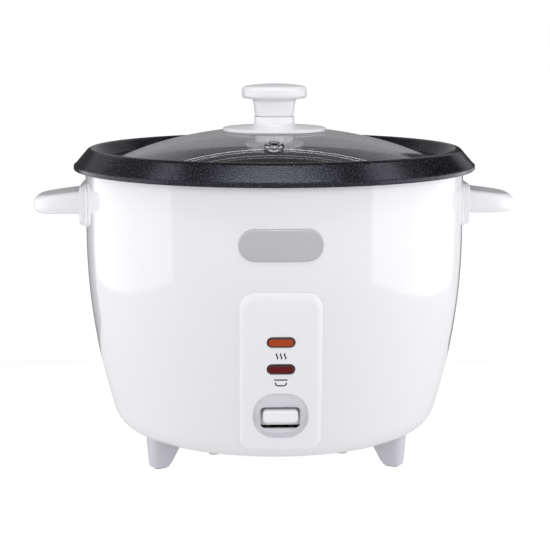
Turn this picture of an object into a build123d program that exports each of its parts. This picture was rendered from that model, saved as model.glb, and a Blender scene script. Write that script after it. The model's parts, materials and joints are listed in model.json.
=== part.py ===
from build123d import *
import os
from math import asin, cos, degrees, radians, sin, sqrt, tan

# Rice cooker with a removable pot, a glass lid and a one-lever magnetic thermostat.
# Millimetres, +Z up, front towards -Y, origin on the floor under the middle.

# Gaps between pieces
screw_gap = 0.1
running_gap = 0.05
contact_gap = 0.3
cutout_gap = 0.3
sensor_top_gap = 0.1

# Pot
pot_radius = 92.5
pot_wall = 1.5
pot_depth = 105.4
pot_corner = 24.0
ledge_width = 4.7
ledge_edge_radius = 1.2
ledge_root_radius = 1.0
ledge_wall_height = 5.7
rim_bend_radius = 1.5
rim_reach = 6.15
rim_rise = 8.9
crest_radius = 3.8
skirt_drop = 11.6
skirt_overhang = 6.6
lip_proud = 0.7
lip_thickness = 1.9
lip_height = 2.8
lip_round = 0.8

# Housing
foot_height = 15.5
base_plate_thickness = 0.8
base_plate_inset = 1.0
under_height = 28.2
shell_wall = 0.8
shell_cover = 2.4
shell_lip_width = 6.4
shell_lip_radius = 2.5
shell_straight = 39.0
shell_tuck = 7.9
shell_corner = 18.0
shell_flange = 12.0

# Pot well
liner_wall = 0.6
liner_gap = 2.0
liner_rim_gap = 0.9
liner_corner = 20.0
liner_step_drop = 11.5
liner_step_height = 8.0
liner_step_radius = 6.0
liner_flange = 5.0
liner_bend = 1.0
liner_lip_gap = 0.8
liner_hole_radius = 28.0

# Heating plate
post_height = 4.4
post_radius = 4.0
post_inset = 10.0
post_angles = (90, 210, 330)
heater_thickness = 9.0
heater_margin = 1.5
heater_edge = 2.0
element_inset = 22.0
element_width = 10.0
element_bump = 2.0
terminal_radius = 2.0
terminal_length = 13.0
terminal_half_angle = 25.0
bead_radius = 4.5
bead_length = 8.0

# Temperature sensor
sensor_radius = 15.0
sensor_wall = 0.8
sensor_top = 1.2
sensor_side_gap = 0.6
sensor_lip = 1.6
sensor_lip_height = 1.0
sensor_height = 17.0
ferrite_radius = 12.0
ferrite_thickness = 6.0
holder_wall = 0.8
holder_depth = 10.0
holder_flange = 8.0
holder_flange_thickness = 1.0
holder_side_gap = 0.9
holder_screw_angles = (30, 150, 270)
sensor_spring_radius = 11.2
sensor_spring_wire = 1.0
sensor_spring_turns = 4

# Magnet and its rod
magnet_radius = 9.0
magnet_bore = 4.6
magnet_height = 5.0
rod_radius = 2.5
rod_gap = 0.5
rod_flange_radius = 8.0
rod_flange_thickness = 1.0
rod_length = 7.5
magnet_spring_radius = 3.6
magnet_spring_wire = 0.6
magnet_spring_turns = 4
# Places on each turn of a spring at which its gap is measured
points_per_turn = 24

# Lever and paddle
lever_width = 8.0
lever_thickness = 2.0
lever_bend = 4.0
lever_toe = 4.0
lever_arm = 34.7
pivot_drop = 9.5
pivot_pin_radius = 1.5
pivot_boss_radius = 4.0
knee_reach = 14.0
shin_reach = 22.0
shin_rise = 1.5
paddle_rise = 8.85
paddle_neck = 33.0
paddle_width = 18.3
paddle_height = 6.6
paddle_length = 14.0
paddle_round = 1.6
paddle_socket = 5.0
apron_setback = 10.7
apron_thickness = 1.5
apron_drop = 3.4
apron_lap = 1.0

# Lever bracket and micro switch
bracket_wall = 1.2
bracket_side_gap = 1.15
bracket_length = 38.0
bracket_depth = 19.0
bracket_plate_width = 26.0
bracket_plate_length = 16.0
rivet_radius = 1.5
rivet_head_radius = 2.6
rivet_head_height = 1.1
rivet_offset = 9.8
switch_length = 20.0
switch_height = 8.0
switch_drop = 2.5
plunger_radius = 1.5
plunger_reach = 18.0
plunger_gap = 0.1
plunger_depth = 4.0
plunger_room = 3.0
tab_width = 4.0
tab_thickness = 0.8
tab_length = 3.0
tab_spacing = 6.0

# Control panel
panel_width = 43.0
panel_height = 88.0
panel_low = 6.3
panel_proud = 2.5
panel_corner = 8.0
panel_bevel = 2.2
dish_width = 29.2
dish_height = 25.2
dish_corner = 11.5
dish_depth = 4.2
dish_taper = 22.0
dish_wall = 1.6
dish_floor = 1.5
dish_above_slot = 3.3
slot_width = 20.9
slot_height = 12.5
slot_corner = 1.2
slot_head_room = 0.6
lens_width = 14.3
lens_height = 5.1
lens_proud = 0.6
lens_depth = 4.6
lens_wall = 1.1
lens_cavity = 2.2
lens_spacing = 14.8
lens_rise = 33.9
lamp_radius = 1.45
lamp_length = 9.0
holder_plate_width = 19.0
holder_plate_height = 20.4
holder_plate_thickness = 2.6
holder_ear_reach = 16.0
holder_ear_height = 7.0
boss_radius = 2.8
boss_reach = 12.5

# Badge
badge_width = 44.0
badge_height = 17.0
badge_thickness = 0.8
badge_drop = 32.5

# Handles
handle_drop = 10.5
handle_root_height = 23.0
handle_root_width = 40.0
handle_root_proud = 2.7
handle_root_corner = 5.0
handle_flange_margin = 3.0
handle_flange_proud = 1.0
grip_reach = 26.7
grip_low = 6.5
grip_root_height = 13.4
grip_tip_height = 9.6
grip_width = 39.0
grip_tip_corner = 14.0
grip_round = 4.0
handle_screw_spread = 12.0

# Feet, one at the back and two at the front
foot_names = ("foot_front_left", "foot_front_right", "foot_rear")
foot_angles = (210, 330, 90)
foot_reach = 5.8
foot_collar = 1.8
foot_width = 10.0
foot_length = 10.3
foot_corner = 3.0
foot_top_extra = 8.7
foot_draft = 1.0
foot_round = 1.0
pad_inset = 1.6
pad_recess = 2.0
pad_proud = 0.5
foot_screw_inset = 3.6
foot_screw_depth = 9.0

# Base plate
vent_count = 24
vent_length = 14.0
vent_width = 3.0
vent_circle = 40.0
base_screw_count = 6
base_screw_inset = 4.5

# Power inlet
inlet_width = 30.0
inlet_height = 21.4
inlet_lift = 16.7
inlet_depth = 20.0
inlet_proud = 1.5
inlet_bezel = 8.0
inlet_bezel_top = 1.0
inlet_corner = 2.0
socket_width = 24.2
socket_height = 16.4
socket_depth = 17.0
socket_chamfer = 4.5
pin_width = 2.0
pin_height = 4.0
pin_reach = 12.0
pin_tail = 7.0
pin_spacing = 7.0
pin_offset = 2.0
inlet_screw_reach = 19.0

# Parts under the well
fuse_radius = 2.2
fuse_length = 16.0
fuse_lead_radius = 0.6
fuse_lead_length = 6.0
fuse_x = 38.0
fuse_y = 18.0
clip_width = 8.0
clip_wall = 0.6
clip_foot = 5.0
warmer_length = 42.0
warmer_width = 18.0
warmer_thickness = 2.5
warmer_x = -46.0
warmer_y = 10.0
warmer_rivet_reach = 17.0

# Wiring
wire_radius = 1.0
wire_bend_share = 0.45
wire_lift = 7.0
wire_lane = 4.0
wire_exit = 12.0
wire_step = 3.0
wire_ease = 1.0
wire_droop = 2.0
lead_run = 6.0
loop_drop = 6.0
loop_end = 5.0
live_bend_x = 32.0
live_bend_y = 46.0
live_side_x = 58.0
live_side_y = 34.0
live_lead_x = 64.0
fused_run = 4.0
fused_reach = 14.0
neutral_bend_x = 32.0
neutral_bend_y = 44.0
neutral_side_x = 52.0
neutral_side_y = 14.0
neutral_front_x = 48.0
neutral_front_y = 22.0
neutral_turn_x = 30.0
neutral_turn_y = 52.0
neutral_tab_x = 12.0
switched_tab_x = 14.0
switched_turn_x = 42.0
switched_turn_y = 58.0
switched_side_x = 62.0
switched_side_y = 20.0
switched_back_x = 60.0
switched_back_y = 18.0
switched_bend_x = 42.0
switched_bend_y = 38.0

# Lid
glass_thickness = 4.0
glass_gap = 1.2
glass_edge = 3.8
dome_radius = 246.0
knob_hole_radius = 4.0
eyelet_circle = 57.0
eyelet_angle = 268.0
eyelet_radius = 5.5
eyelet_bore = 2.5
eyelet_shank = 3.6
eyelet_rise = 1.9
eyelet_round = 1.2
eyelet_flange_radius = 4.8
eyelet_flange = 0.6

# Knob
knob_base_radius = 29.4
knob_base_edge = 1.6
knob_base_cone = 1.3
knob_base_round = 0.8
knob_root_radius = 2.0
knob_stem_radius = 11.4
knob_stem_height = 5.0
knob_neck_radius = 10.9
knob_throat_radius = 12.2
knob_throat_height = 9.6
knob_cap_radius = 18.5
knob_cap_lift = 0.9
knob_cap_height = 6.4
knob_cap_crown = 1.5
knob_cap_round = 2.6
knob_cap_under_round = 1.8
knob_throat_round = 1.5
knob_screw_radius = 2.5
knob_screw_length = 20.0
knob_screw_head = 5.0
knob_screw_head_height = 2.2
washer_radius = 12.0
washer_thickness = 1.0
gasket_radius = 11.0
gasket_thickness = 1.5

# Small screws
screw_radius = 1.5
screw_head_radius = 2.8
screw_head_height = 1.8
screw_length = 5.0
drive_width = 0.7
drive_depth = 0.8
heater_screw_bite = 5.0

# Limits of the modelling
axis_tolerance = 0.01
wall_share = 0.95

# Heights that follow
shell_bottom = foot_height + base_plate_thickness
liner_floor = shell_bottom + under_height
liner_floor_top = liner_floor + liner_wall
heater_bottom = liner_floor_top + post_height
pot_bottom = heater_bottom + heater_thickness
pot_floor = pot_bottom + pot_wall
ledge_z = pot_floor + pot_depth
rim_bend_z = ledge_z + ledge_wall_height
rim_apex_z = rim_bend_z + rim_rise
lip_top = rim_apex_z - skirt_drop
lip_bottom = lip_top - lip_height
shell_top = lip_bottom + shell_cover
shell_straight_bottom = shell_top - shell_straight

# Radii that follow
pot_outer = pot_radius + pot_wall
ledge_radius = pot_radius + ledge_width
rim_apex_radius = ledge_radius + rim_reach
liner_radius = pot_outer + liner_gap
liner_outer = liner_radius + liner_wall
liner_rim_radius = ledge_radius + pot_wall + liner_rim_gap
shell_hole_radius = liner_rim_radius + liner_wall + liner_lip_gap
shell_radius = shell_hole_radius + shell_lip_width
shell_bottom_radius = liner_outer - shell_tuck
skirt_radius = shell_radius + skirt_overhang
heater_radius = pot_radius - pot_corner + heater_margin
post_circle = heater_radius - post_inset
element_circle = heater_radius - element_inset

# Curve of the shell's side, one arc below the straight part
curve_drop = shell_straight_bottom - shell_bottom
curve_in = shell_radius - shell_bottom_radius
curve_radius = (curve_drop**2 + curve_in**2) / (2 * curve_in)
curve_centre = shell_radius - curve_radius
corner_drop = curve_drop - shell_corner
shell_flat_radius = curve_centre + sqrt((curve_radius - shell_corner) ** 2 - corner_drop**2)
shell_flange_radius = shell_flat_radius - shell_flange
base_plate_radius = shell_flat_radius - base_plate_inset
foot_circle = shell_flat_radius + foot_reach


def side_radius(z, proud=0.0):
    """Radius of the shell's side at a height, or of a surface that stands proud of it."""
    fall = max(0.0, shell_straight_bottom - z)
    return curve_centre + sqrt((curve_radius + proud) ** 2 - fall**2)


def side_tilt(z):
    """Lean of the shell's side at a height, in radians from upright."""
    return asin(max(0.0, shell_straight_bottom - z) / curve_radius)


# Building blocks

def rod(radius, low, high, x=0.0, y=0.0):
    """Upright cylinder between two heights."""
    return Pos(x, y, (low + high) / 2) * Cylinder(radius, high - low)


def tube(outer, inner, low, high, x=0.0, y=0.0):
    """Upright tube between two heights."""
    return rod(outer, low, high, x, y) - rod(inner, low, high, x, y)


def block(x_range, y_range, z_range):
    """Box between pairs of limits."""
    size = [high - low for low, high in (x_range, y_range, z_range)]
    middle = [(high + low) / 2 for low, high in (x_range, y_range, z_range)]
    return Pos(*middle) * Box(*size)


def around(radius, angle):
    """Point on a circle, with the angle in degrees from +X."""
    return radius * cos(radians(angle)), radius * sin(radians(angle))


def turned(points):
    """Solid of revolution about Z of a closed outline of radius and height."""
    return revolve(make_face(Polyline(*[(r, 0, z) for r, z in points], close=True)), Axis.Z)


def turned_sheet(points, radii, thickness):
    """Turned sheet metal: a path of radius and height with rounded bends, thickened below and outside."""
    path = FilletPolyline(*[(r, 0, z) for r, z in points], radius=radii)
    outline = path.offset_2d(thickness, kind=Kind.ARC, side=Side.LEFT, closed=True)
    return revolve(make_face(outline.edges()), Axis.Z)


def ring_edge(solid, radius, z):
    """Circular edge about Z that lies nearest to a radius and height."""
    circles = solid.edges().filter_by(GeomType.CIRCLE)
    centred = [e for e in circles if abs(e.arc_center.X) < axis_tolerance]
    return min(centred, key=lambda e: abs(e.radius - radius) + abs(e.arc_center.Z - z))


def eased(radius, wall):
    """Rounding radius, limited by the wall that it is on."""
    return min(radius, wall_share * wall)


def screw(length, radius=screw_radius, head=screw_head_radius, head_height=screw_head_height):
    """Pan-head screw with a cross drive: head below the XY plane, shank above it."""
    body = rod(head, -head_height, 0) + rod(radius, 0, length)
    for angle in (0, 90):
        arm = Box(2 * radius, drive_width, 2 * drive_depth)
        body -= Pos(0, 0, -head_height) * Rot(0, 0, angle) * arm
    return body


def along(point, direction):
    """Plane at a point whose Z axis runs along a direction."""
    return Plane(origin=point, z_dir=direction)


def least_spacing(path, turns):
    """Smallest distance between points of a coiled path that are at least half a turn apart."""
    steps = round(turns * points_per_turn)
    points = [path @ (n / steps) for n in range(steps + 1)]
    apart = points_per_turn // 2
    return min((a - b).length for n, a in enumerate(points) for b in points[n + apart:])


def coil(radius, wire, turns, low, high):
    """Helical spring between two heights, its wire kept clear of both ends."""
    height = high - low - wire
    path = Helix(pitch=height / turns, height=height, radius=radius)
    print("spring gap", round(least_spacing(path, turns) - wire, 2))
    section = Plane(origin=path @ 0, z_dir=path % 0) * Circle(wire / 2)
    return Pos(0, 0, low + wire / 2) * sweep(section, path=path, is_frenet=True)


def group(solids):
    """Separate identical pieces kept in one node."""
    return Compound(children=[solid.solid() for solid in solids])


# Pot

def pot_form():
    """Drawn pot with a lid ledge, a rounded crest and a turned-down skirt that ends in a lip."""
    path = [
        (0, pot_floor),
        (pot_radius, pot_floor),
        (pot_radius, ledge_z),
        (ledge_radius, ledge_z),
        (ledge_radius, rim_bend_z),
        (rim_apex_radius, rim_apex_z),
        (skirt_radius - lip_proud, lip_top),
    ]
    bends = [pot_corner, ledge_edge_radius, ledge_root_radius, rim_bend_radius, crest_radius]
    sheet = turned_sheet(path, bends, pot_wall)
    lip = tube(skirt_radius, skirt_radius - lip_thickness, lip_bottom, lip_top)
    lip_edges = [ring_edge(lip, skirt_radius, z) for z in (lip_bottom, lip_top)]
    lip = fillet(lip_edges, eased(lip_round, lip_height / 2))
    return sheet + lip


def make_pot():
    """Wall and rim of the pot, above its rounded corner."""
    return pot_form() - rod(pot_outer + pot_wall, pot_bottom, pot_floor + pot_corner)


def make_pot_corner():
    """Rounded corner between the pot's floor and its wall, a solid of its own."""
    ring = tube(pot_outer + pot_wall, pot_radius - pot_corner, pot_bottom, pot_floor + pot_corner)
    return pot_form() & ring


def make_pot_floor():
    """Flat middle of the pot's floor, a solid of its own."""
    return rod(pot_radius - pot_corner, pot_bottom, pot_floor)


# Shell

def shell_form(inset):
    """Solid inside the shell's outer surface, drawn in by an inset, or swollen by a negative one."""
    low = shell_bottom + inset
    high = shell_top - inset
    low_radius = side_radius(low, -inset)
    mid_z = (low + shell_straight_bottom) / 2
    top_radius = shell_radius - inset
    edges = [
        Line((0, 0, low), (low_radius, 0, low)),
        ThreePointArc(
            (low_radius, 0, low),
            (side_radius(mid_z, -inset), 0, mid_z),
            (top_radius, 0, shell_straight_bottom),
        ),
        Line((top_radius, 0, shell_straight_bottom), (top_radius, 0, high)),
        Line((top_radius, 0, high), (0, 0, high)),
        Line((0, 0, high), (0, 0, low)),
    ]
    form = revolve(make_face(edges), Axis.Z)
    form = fillet(ring_edge(form, low_radius, low), shell_corner - inset)
    return fillet(ring_edge(form, top_radius, high), shell_lip_radius - inset)


shell_outside = shell_form(0)


def face_plane(z, local_y=0.0, depth=0.0):
    """Plane on the control panel's face at a height, facing out, moved up the face and into it."""
    tilt = side_tilt(z)
    middle = (0, -side_radius(z, panel_proud), z)
    plane = Plane(origin=middle, x_dir=(1, 0, 0), z_dir=(0, -cos(tilt), -sin(tilt)))
    return plane.offset(-depth) * Pos(0, local_y, 0)


# Lever line: heights and places that the panel, bracket and thermostat share
pivot_z = liner_floor - pivot_drop
paddle_z = pivot_z + paddle_rise
slot_rise = dish_depth * sin(side_tilt(paddle_z))
slot_z = paddle_z + paddle_height / 2 + slot_head_room - slot_rise - slot_height / 2
dish_z = slot_z + dish_above_slot
lamps_z = dish_z + lens_rise
paddle_front = side_radius(paddle_z, panel_proud) + panel_proud / 2
paddle_back = paddle_front - paddle_length
pivot_reach = paddle_back - lever_arm
bracket_inside = lever_width / 2 + bracket_side_gap
pivot_line = Plane(origin=(0, -pivot_reach, pivot_z), z_dir=(1, 0, 0))


# Control panel

def lens_places():
    """Heights up the panel's face of the upper and the lower lens, from the point between them."""
    return lens_spacing / 2, -lens_spacing / 2


def slot_prism(width, height, local_y, near, far):
    """Stadium prism square to the panel's face, between two depths."""
    sketch = face_plane(lamps_z, local_y, near) * SlotOverall(width, height)
    return extrude(sketch, amount=near - far)


def well_prism(margin, near, far):
    """Rounded prism round the switch dish, between two depths below the panel's face."""
    corner = eased(dish_corner, dish_height / 2) + margin
    outline = RectangleRounded(dish_width + 2 * margin, dish_height + 2 * margin, corner)
    return extrude(face_plane(dish_z, 0, near) * outline, amount=near - far)


def boss_place(side, depth):
    """Plane of a lamp holder screw boss at a depth below the face."""
    return face_plane(lamps_z, 0, depth) * Pos(side * boss_reach, 0, 0)


def boss(side, radius, near, far):
    """Screw boss on the panel's back between two depths."""
    return extrude(boss_place(side, near) * Circle(radius), amount=near - far)


dish_back = dish_depth + dish_floor


def make_panel():
    """Front panel: flat across, curved with the shell up and down, with the switch dish and lens holes."""
    low = shell_bottom + panel_low
    high = low + panel_height
    mid = (low + high) / 2
    outline = [
        Line((0, -side_radius(low) + dish_back, low), (0, -side_radius(low, panel_proud), low)),
        ThreePointArc(*[(0, -side_radius(z, panel_proud), z) for z in (low, mid, high)]),
        Line((0, -side_radius(high, panel_proud), high), (0, -side_radius(low) + dish_back, high)),
        Line((0, -side_radius(low) + dish_back, high), (0, -side_radius(low) + dish_back, low)),
    ]
    plate = extrude(make_face(outline), amount=panel_width / 2, dir=(1, 0, 0), both=True)
    plate = fillet(plate.edges().filter_by(Axis.Y), eased(panel_corner, panel_width / 2))
    front = max(plate.faces().filter_by(GeomType.CYLINDER), key=lambda f: f.area)
    plate = chamfer(front.edges(), panel_bevel)
    plate -= shell_outside
    plate += well_prism(dish_wall, panel_bevel / 2, dish_back)
    for side in (-1, 1):
        plate += boss(side, boss_radius, panel_proud / 2, lens_depth)
        plate -= boss(side, screw_radius + screw_gap, panel_proud / 2, lens_depth)
    corner = eased(dish_corner, dish_height / 2)
    mouth = RectangleRounded(dish_width + panel_bevel, dish_height + panel_bevel, corner)
    mouth = face_plane(dish_z, 0, -panel_bevel) * mouth
    plate -= extrude(mouth, amount=-dish_depth - panel_bevel, taper=dish_taper)
    slot = face_plane(slot_z, 0, 0) * RectangleRounded(slot_width, slot_height, slot_corner)
    plate -= extrude(slot, amount=-2 * dish_back)
    for local_y in lens_places():
        plate -= slot_prism(lens_width, lens_height, local_y, -panel_proud, lens_depth)
    return plate


def make_lens(local_y):
    """Lamp lens: a stadium plug, hollow behind for its lamp."""
    lens = slot_prism(lens_width, lens_height, local_y, -lens_proud, lens_depth)
    hollow = slot_prism(
        lens_width - 2 * lens_wall, lens_height - 2 * lens_wall, local_y, lens_depth - lens_cavity, lens_depth
    )
    return lens - hollow


def lamp_form(local_y):
    """Small neon lamp that lies across, half in the lens and half in the holder."""
    line = face_plane(lamps_z, local_y, lens_depth) * Rot(0, 90, 0)
    middle = line * Cylinder(lamp_radius, lamp_length)
    ends = [line * Pos(0, 0, side * lamp_length / 2) * Sphere(lamp_radius) for side in (-1, 1)]
    return middle + ends


def make_lamp_holder():
    """Plate behind the lenses with a seat for each lamp and two screw ears."""
    back = lens_depth + holder_plate_thickness
    face = face_plane(lamps_z, 0, back)
    plate = extrude(face * Rectangle(holder_plate_width, holder_plate_height), amount=holder_plate_thickness)
    plate += extrude(face * Rectangle(2 * holder_ear_reach, holder_ear_height), amount=holder_plate_thickness)
    for local_y in lens_places():
        plate -= lamp_form(local_y)
    for side in (-1, 1):
        plate -= boss(side, screw_radius + screw_gap, lens_depth, back)
    return plate


def make_panel_screws():
    """Screws that hold the lamp holder and the panel together."""
    back = lens_depth + holder_plate_thickness
    return group([boss_place(side, back) * screw(screw_length) for side in (-1, 1)])


# Badge

def make_badge():
    """Blank plate that follows the shell's front."""
    place = Plane(origin=(0, 0, shell_top - badge_drop), x_dir=(1, 0, 0), z_dir=(0, -1, 0))
    prism = extrude(place * SlotOverall(badge_width, badge_height), amount=2 * shell_radius)
    return (prism & shell_form(-badge_thickness)) - shell_outside


# Handles

handle_mid_z = shell_top - handle_drop - handle_root_height / 2
handle_low_z = handle_mid_z - handle_root_height / 2


def handle_pad(margin, proud):
    """Rounded pad on the shell's side at +X."""
    place = Plane(origin=(0, 0, handle_mid_z), x_dir=(0, 1, 0), z_dir=(1, 0, 0))
    outline = RectangleRounded(
        handle_root_width + 2 * margin, handle_root_height + margin / 2, handle_root_corner + margin / 2
    )
    return extrude(place * outline, amount=shell_radius + proud)


handle_screw_z = handle_low_z + grip_low + grip_tip_height / 2
handle_screw_turn = degrees(asin(handle_screw_spread / shell_radius))
handle_screw_seat = sqrt((shell_radius - shell_wall) ** 2 - screw_head_radius**2)


def handle_screw_plane(angle):
    """Plane on the inside of the shell where a handle screw's head sits, facing out."""
    x, y = around(handle_screw_seat, angle)
    return along((x, y, handle_screw_z), (x, y, 0))


def handle_screw_hole(angle):
    """Hole for a handle screw, out through the shell and into the grip."""
    outline = handle_screw_plane(angle) * Circle(screw_radius + screw_gap)
    return extrude(outline, amount=screw_length + screw_gap)


def make_handle(side):
    """Side grip with its root pad, hugging the shell."""
    root = fillet(
        handle_pad(0, handle_root_proud).faces().sort_by(Axis.X)[-1].edges(), handle_root_proud / 2
    )
    pad = handle_pad(handle_flange_margin, handle_flange_proud)
    pad = pad & shell_form(-handle_flange_proud)
    start = shell_radius
    tip = shell_radius + handle_root_proud + grip_reach
    low = handle_low_z + grip_low
    outline = Polyline(
        (start, 0, low),
        (tip, 0, low),
        (tip, 0, low + grip_tip_height),
        (start, 0, low + grip_root_height),
        close=True,
    )
    grip = extrude(make_face(outline), amount=grip_width / 2, dir=(0, 1, 0), both=True)
    tip_edges = grip.edges().filter_by(Axis.Z).group_by(Axis.X)[-1]
    grip = fillet(tip_edges, eased(grip_tip_corner, grip_width / 2))
    rounded = [e for e in grip.edges() if e.bounding_box().max.X > start + grip_round]
    rounded = [e for e in rounded if e not in grip.edges().filter_by(Axis.Z)]
    grip = fillet(rounded, eased(grip_round, grip_tip_height / 2))
    handle = root + pad + grip - shell_outside
    for turn in (-handle_screw_turn, handle_screw_turn):
        handle -= handle_screw_hole(turn)
    handle = handle.solid()
    return handle if side > 0 else handle.rotate(Axis.Z, 180)


handle_screw_angles = [half + side * handle_screw_turn for half in (0, 180) for side in (-1, 1)]


def make_handle_screws():
    """Two screws for each handle, driven from inside the shell."""
    return group([handle_screw_plane(angle) * screw(screw_length) for angle in handle_screw_angles])


# Power inlet

inlet_z = shell_bottom + inlet_lift
inlet_face = side_radius(inlet_z + inlet_height / 2) + inlet_proud
inlet_back = inlet_face - inlet_depth
inlet_plane = Plane(origin=(0, inlet_face, inlet_z), x_dir=(-1, 0, 0), z_dir=(0, 1, 0))


def inlet_body(gap=0.0):
    """Inlet block behind its bezel, or the hole for it in the shell."""
    outline = RectangleRounded(inlet_width + 2 * gap, inlet_height + 2 * gap, inlet_corner + gap)
    return extrude(inlet_plane * outline, amount=-inlet_depth)


def socket_outline():
    """Mouth of the socket, with its two upper corners cut."""
    mouth = Rectangle(socket_width, socket_height)
    return chamfer(mouth.vertices().group_by(Axis.Y)[-1], socket_chamfer)


def pin_places():
    """Across and up places of the three contacts in the socket."""
    return [(-pin_spacing, -pin_offset), (0, pin_offset), (pin_spacing, -pin_offset)]


def make_inlet():
    """Appliance inlet: bezel against the shell, block through it, socket with its mouth at the back."""
    bezel_outline = RectangleRounded(
        inlet_width + 2 * inlet_bezel, inlet_height + 2 * inlet_bezel_top, inlet_corner
    )
    bezel = extrude(inlet_plane * bezel_outline, amount=-inlet_depth) - shell_outside
    inlet = bezel + inlet_body()
    inlet -= extrude(inlet_plane * socket_outline(), amount=-socket_depth)
    for x, y in pin_places():
        inlet -= extrude(inlet_plane * Pos(x, y, 0) * Rectangle(pin_width, pin_height), amount=-inlet_depth)
    for side in (-1, 1):
        inlet -= inlet_plane * Pos(side * inlet_screw_reach, 0, 0) * Cylinder(
            screw_radius + screw_gap, 2 * inlet_depth
        )
    return inlet.solid()


def make_inlet_pins():
    """Three flat contacts with solder tails."""
    length = pin_reach + inlet_depth - socket_depth + pin_tail
    tail = inlet_plane.offset(-inlet_depth - pin_tail)
    blade = Rectangle(pin_width, pin_height)
    return group([extrude(tail * Pos(x, y, 0) * blade, amount=length) for x, y in pin_places()])


def make_inlet_screws():
    """Two screws through the bezel into the shell."""
    length = inlet_face - sqrt(side_radius(inlet_z) ** 2 - inlet_screw_reach**2) + screw_length
    facing_in = Plane(origin=inlet_plane.origin, x_dir=(1, 0, 0), z_dir=(0, -1, 0))
    return group([facing_in * Pos(side * inlet_screw_reach, 0, 0) * screw(length) for side in (-1, 1)])


# Foot pieces

foot_screw_circle = base_plate_radius - foot_screw_inset
foot_screw_places = [around(foot_screw_circle, angle) for angle in foot_angles]
pad_top = pad_proud + pad_recess


def foot_section(length, width, corner, outer, z):
    """Rounded section of a foot that runs inwards from its outer end."""
    return Plane(origin=(outer - length / 2, 0, z)) * RectangleRounded(length, width, corner)


def pad_section(z):
    """Section of a foot's pad and of the recess for it."""
    length = foot_length - 2 * pad_inset
    corner = foot_corner - pad_inset
    return foot_section(length, foot_width - 2 * pad_inset, corner, foot_circle - pad_inset, z)


def make_foot(angle):
    """Tapered foot with a pad recess and a blind screw hole, its top cut to the base plate and the shell."""
    foot_top = shell_bottom + foot_collar
    bottom = foot_section(foot_length, foot_width, foot_corner, foot_circle, pad_proud)
    top_length = foot_length + foot_top_extra + foot_draft
    top_width = foot_width + 2 * foot_draft
    top = foot_section(top_length, top_width, foot_corner, foot_circle + foot_draft, foot_top)
    foot = loft([bottom, top])
    foot = fillet(foot.faces().sort_by(Axis.Z)[0].edges(), foot_round)
    foot -= extrude(pad_section(pad_proud), amount=pad_recess)
    hole_bottom = foot_height - foot_screw_depth - screw_gap
    foot -= rod(screw_radius + screw_gap, hole_bottom, foot_height, foot_screw_circle)
    foot -= rod(base_plate_radius + cutout_gap, foot_height, foot_top)
    foot -= shell_outside
    return foot.solid().rotate(Axis.Z, angle)


def make_foot_pad(angle):
    """Rubber pad in the foot's recess."""
    return extrude(pad_section(0), amount=pad_top).rotate(Axis.Z, angle)


def make_foot_screws():
    """One screw down through the shell's flange and the base plate into each foot."""
    head_z = shell_bottom + shell_wall
    turned = Rot(180, 0, 0) * screw(head_z - foot_height + foot_screw_depth)
    return group([Pos(x, y, head_z) * turned for x, y in foot_screw_places])


# Base plate

base_screw_circle = base_plate_radius - base_screw_inset
base_screw_places = [around(base_screw_circle, 360 * n / base_screw_count) for n in range(base_screw_count)]


def make_base_plate():
    """Steel disc that closes the bottom, with a ring of vent slots."""
    plate = rod(base_plate_radius, foot_height, shell_bottom)
    outline = Plane(origin=(vent_circle, 0, foot_height)) * SlotOverall(vent_length, vent_width)
    slot = extrude(outline, amount=base_plate_thickness)
    for n in range(vent_count):
        plate -= slot.rotate(Axis.Z, 360 * n / vent_count)
    for x, y in foot_screw_places + base_screw_places:
        plate -= rod(screw_radius + screw_gap, foot_height, shell_bottom, x, y)
    return plate


def make_base_screws():
    """Screws up through the base plate into the shell's bottom flange."""
    return group([Pos(x, y, foot_height) * screw(screw_length) for x, y in base_screw_places])


# Shell with its openings

def make_shell():
    """Drawn shell with a top lip, a bottom flange and the openings of all that passes through it."""
    shell = shell_outside - shell_form(shell_wall)
    shell -= rod(shell_hole_radius, shell_top - shell_lip_radius, shell_top)
    shell -= rod(shell_flange_radius, shell_bottom, shell_bottom + shell_corner)
    shell -= inlet_body(cutout_gap)
    shell -= well_prism(dish_wall + cutout_gap, -panel_proud, 2 * dish_back)
    for local_y in lens_places():
        shell -= slot_prism(
            lens_width + 2 * cutout_gap, lens_height + 2 * cutout_gap, local_y, 0, 2 * lens_depth
        )
    for side in (-1, 1):
        shell -= boss(side, boss_radius + cutout_gap, 0, 2 * lens_depth)
        shell -= inlet_plane * Pos(side * inlet_screw_reach, 0, 0) * Cylinder(
            screw_radius + screw_gap, 2 * inlet_depth
        )
    for angle in handle_screw_angles:
        shell -= handle_screw_hole(angle)
    for x, y in foot_screw_places + base_screw_places:
        shell -= rod(screw_radius + screw_gap, shell_bottom, shell_bottom + shell_wall, x, y)
    return shell.solid()


# Pot well and heating plate

post_places = [around(post_circle, angle) for angle in post_angles]
terminal_places = [around(element_circle, 90 + side * terminal_half_angle) for side in (-1, 1)]
rivet_places = [(side * rivet_offset, -pivot_reach) for side in (-1, 1)]
warmer_rivet_places = [(warmer_x + side * warmer_rivet_reach, warmer_y) for side in (-1, 1)]


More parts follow.
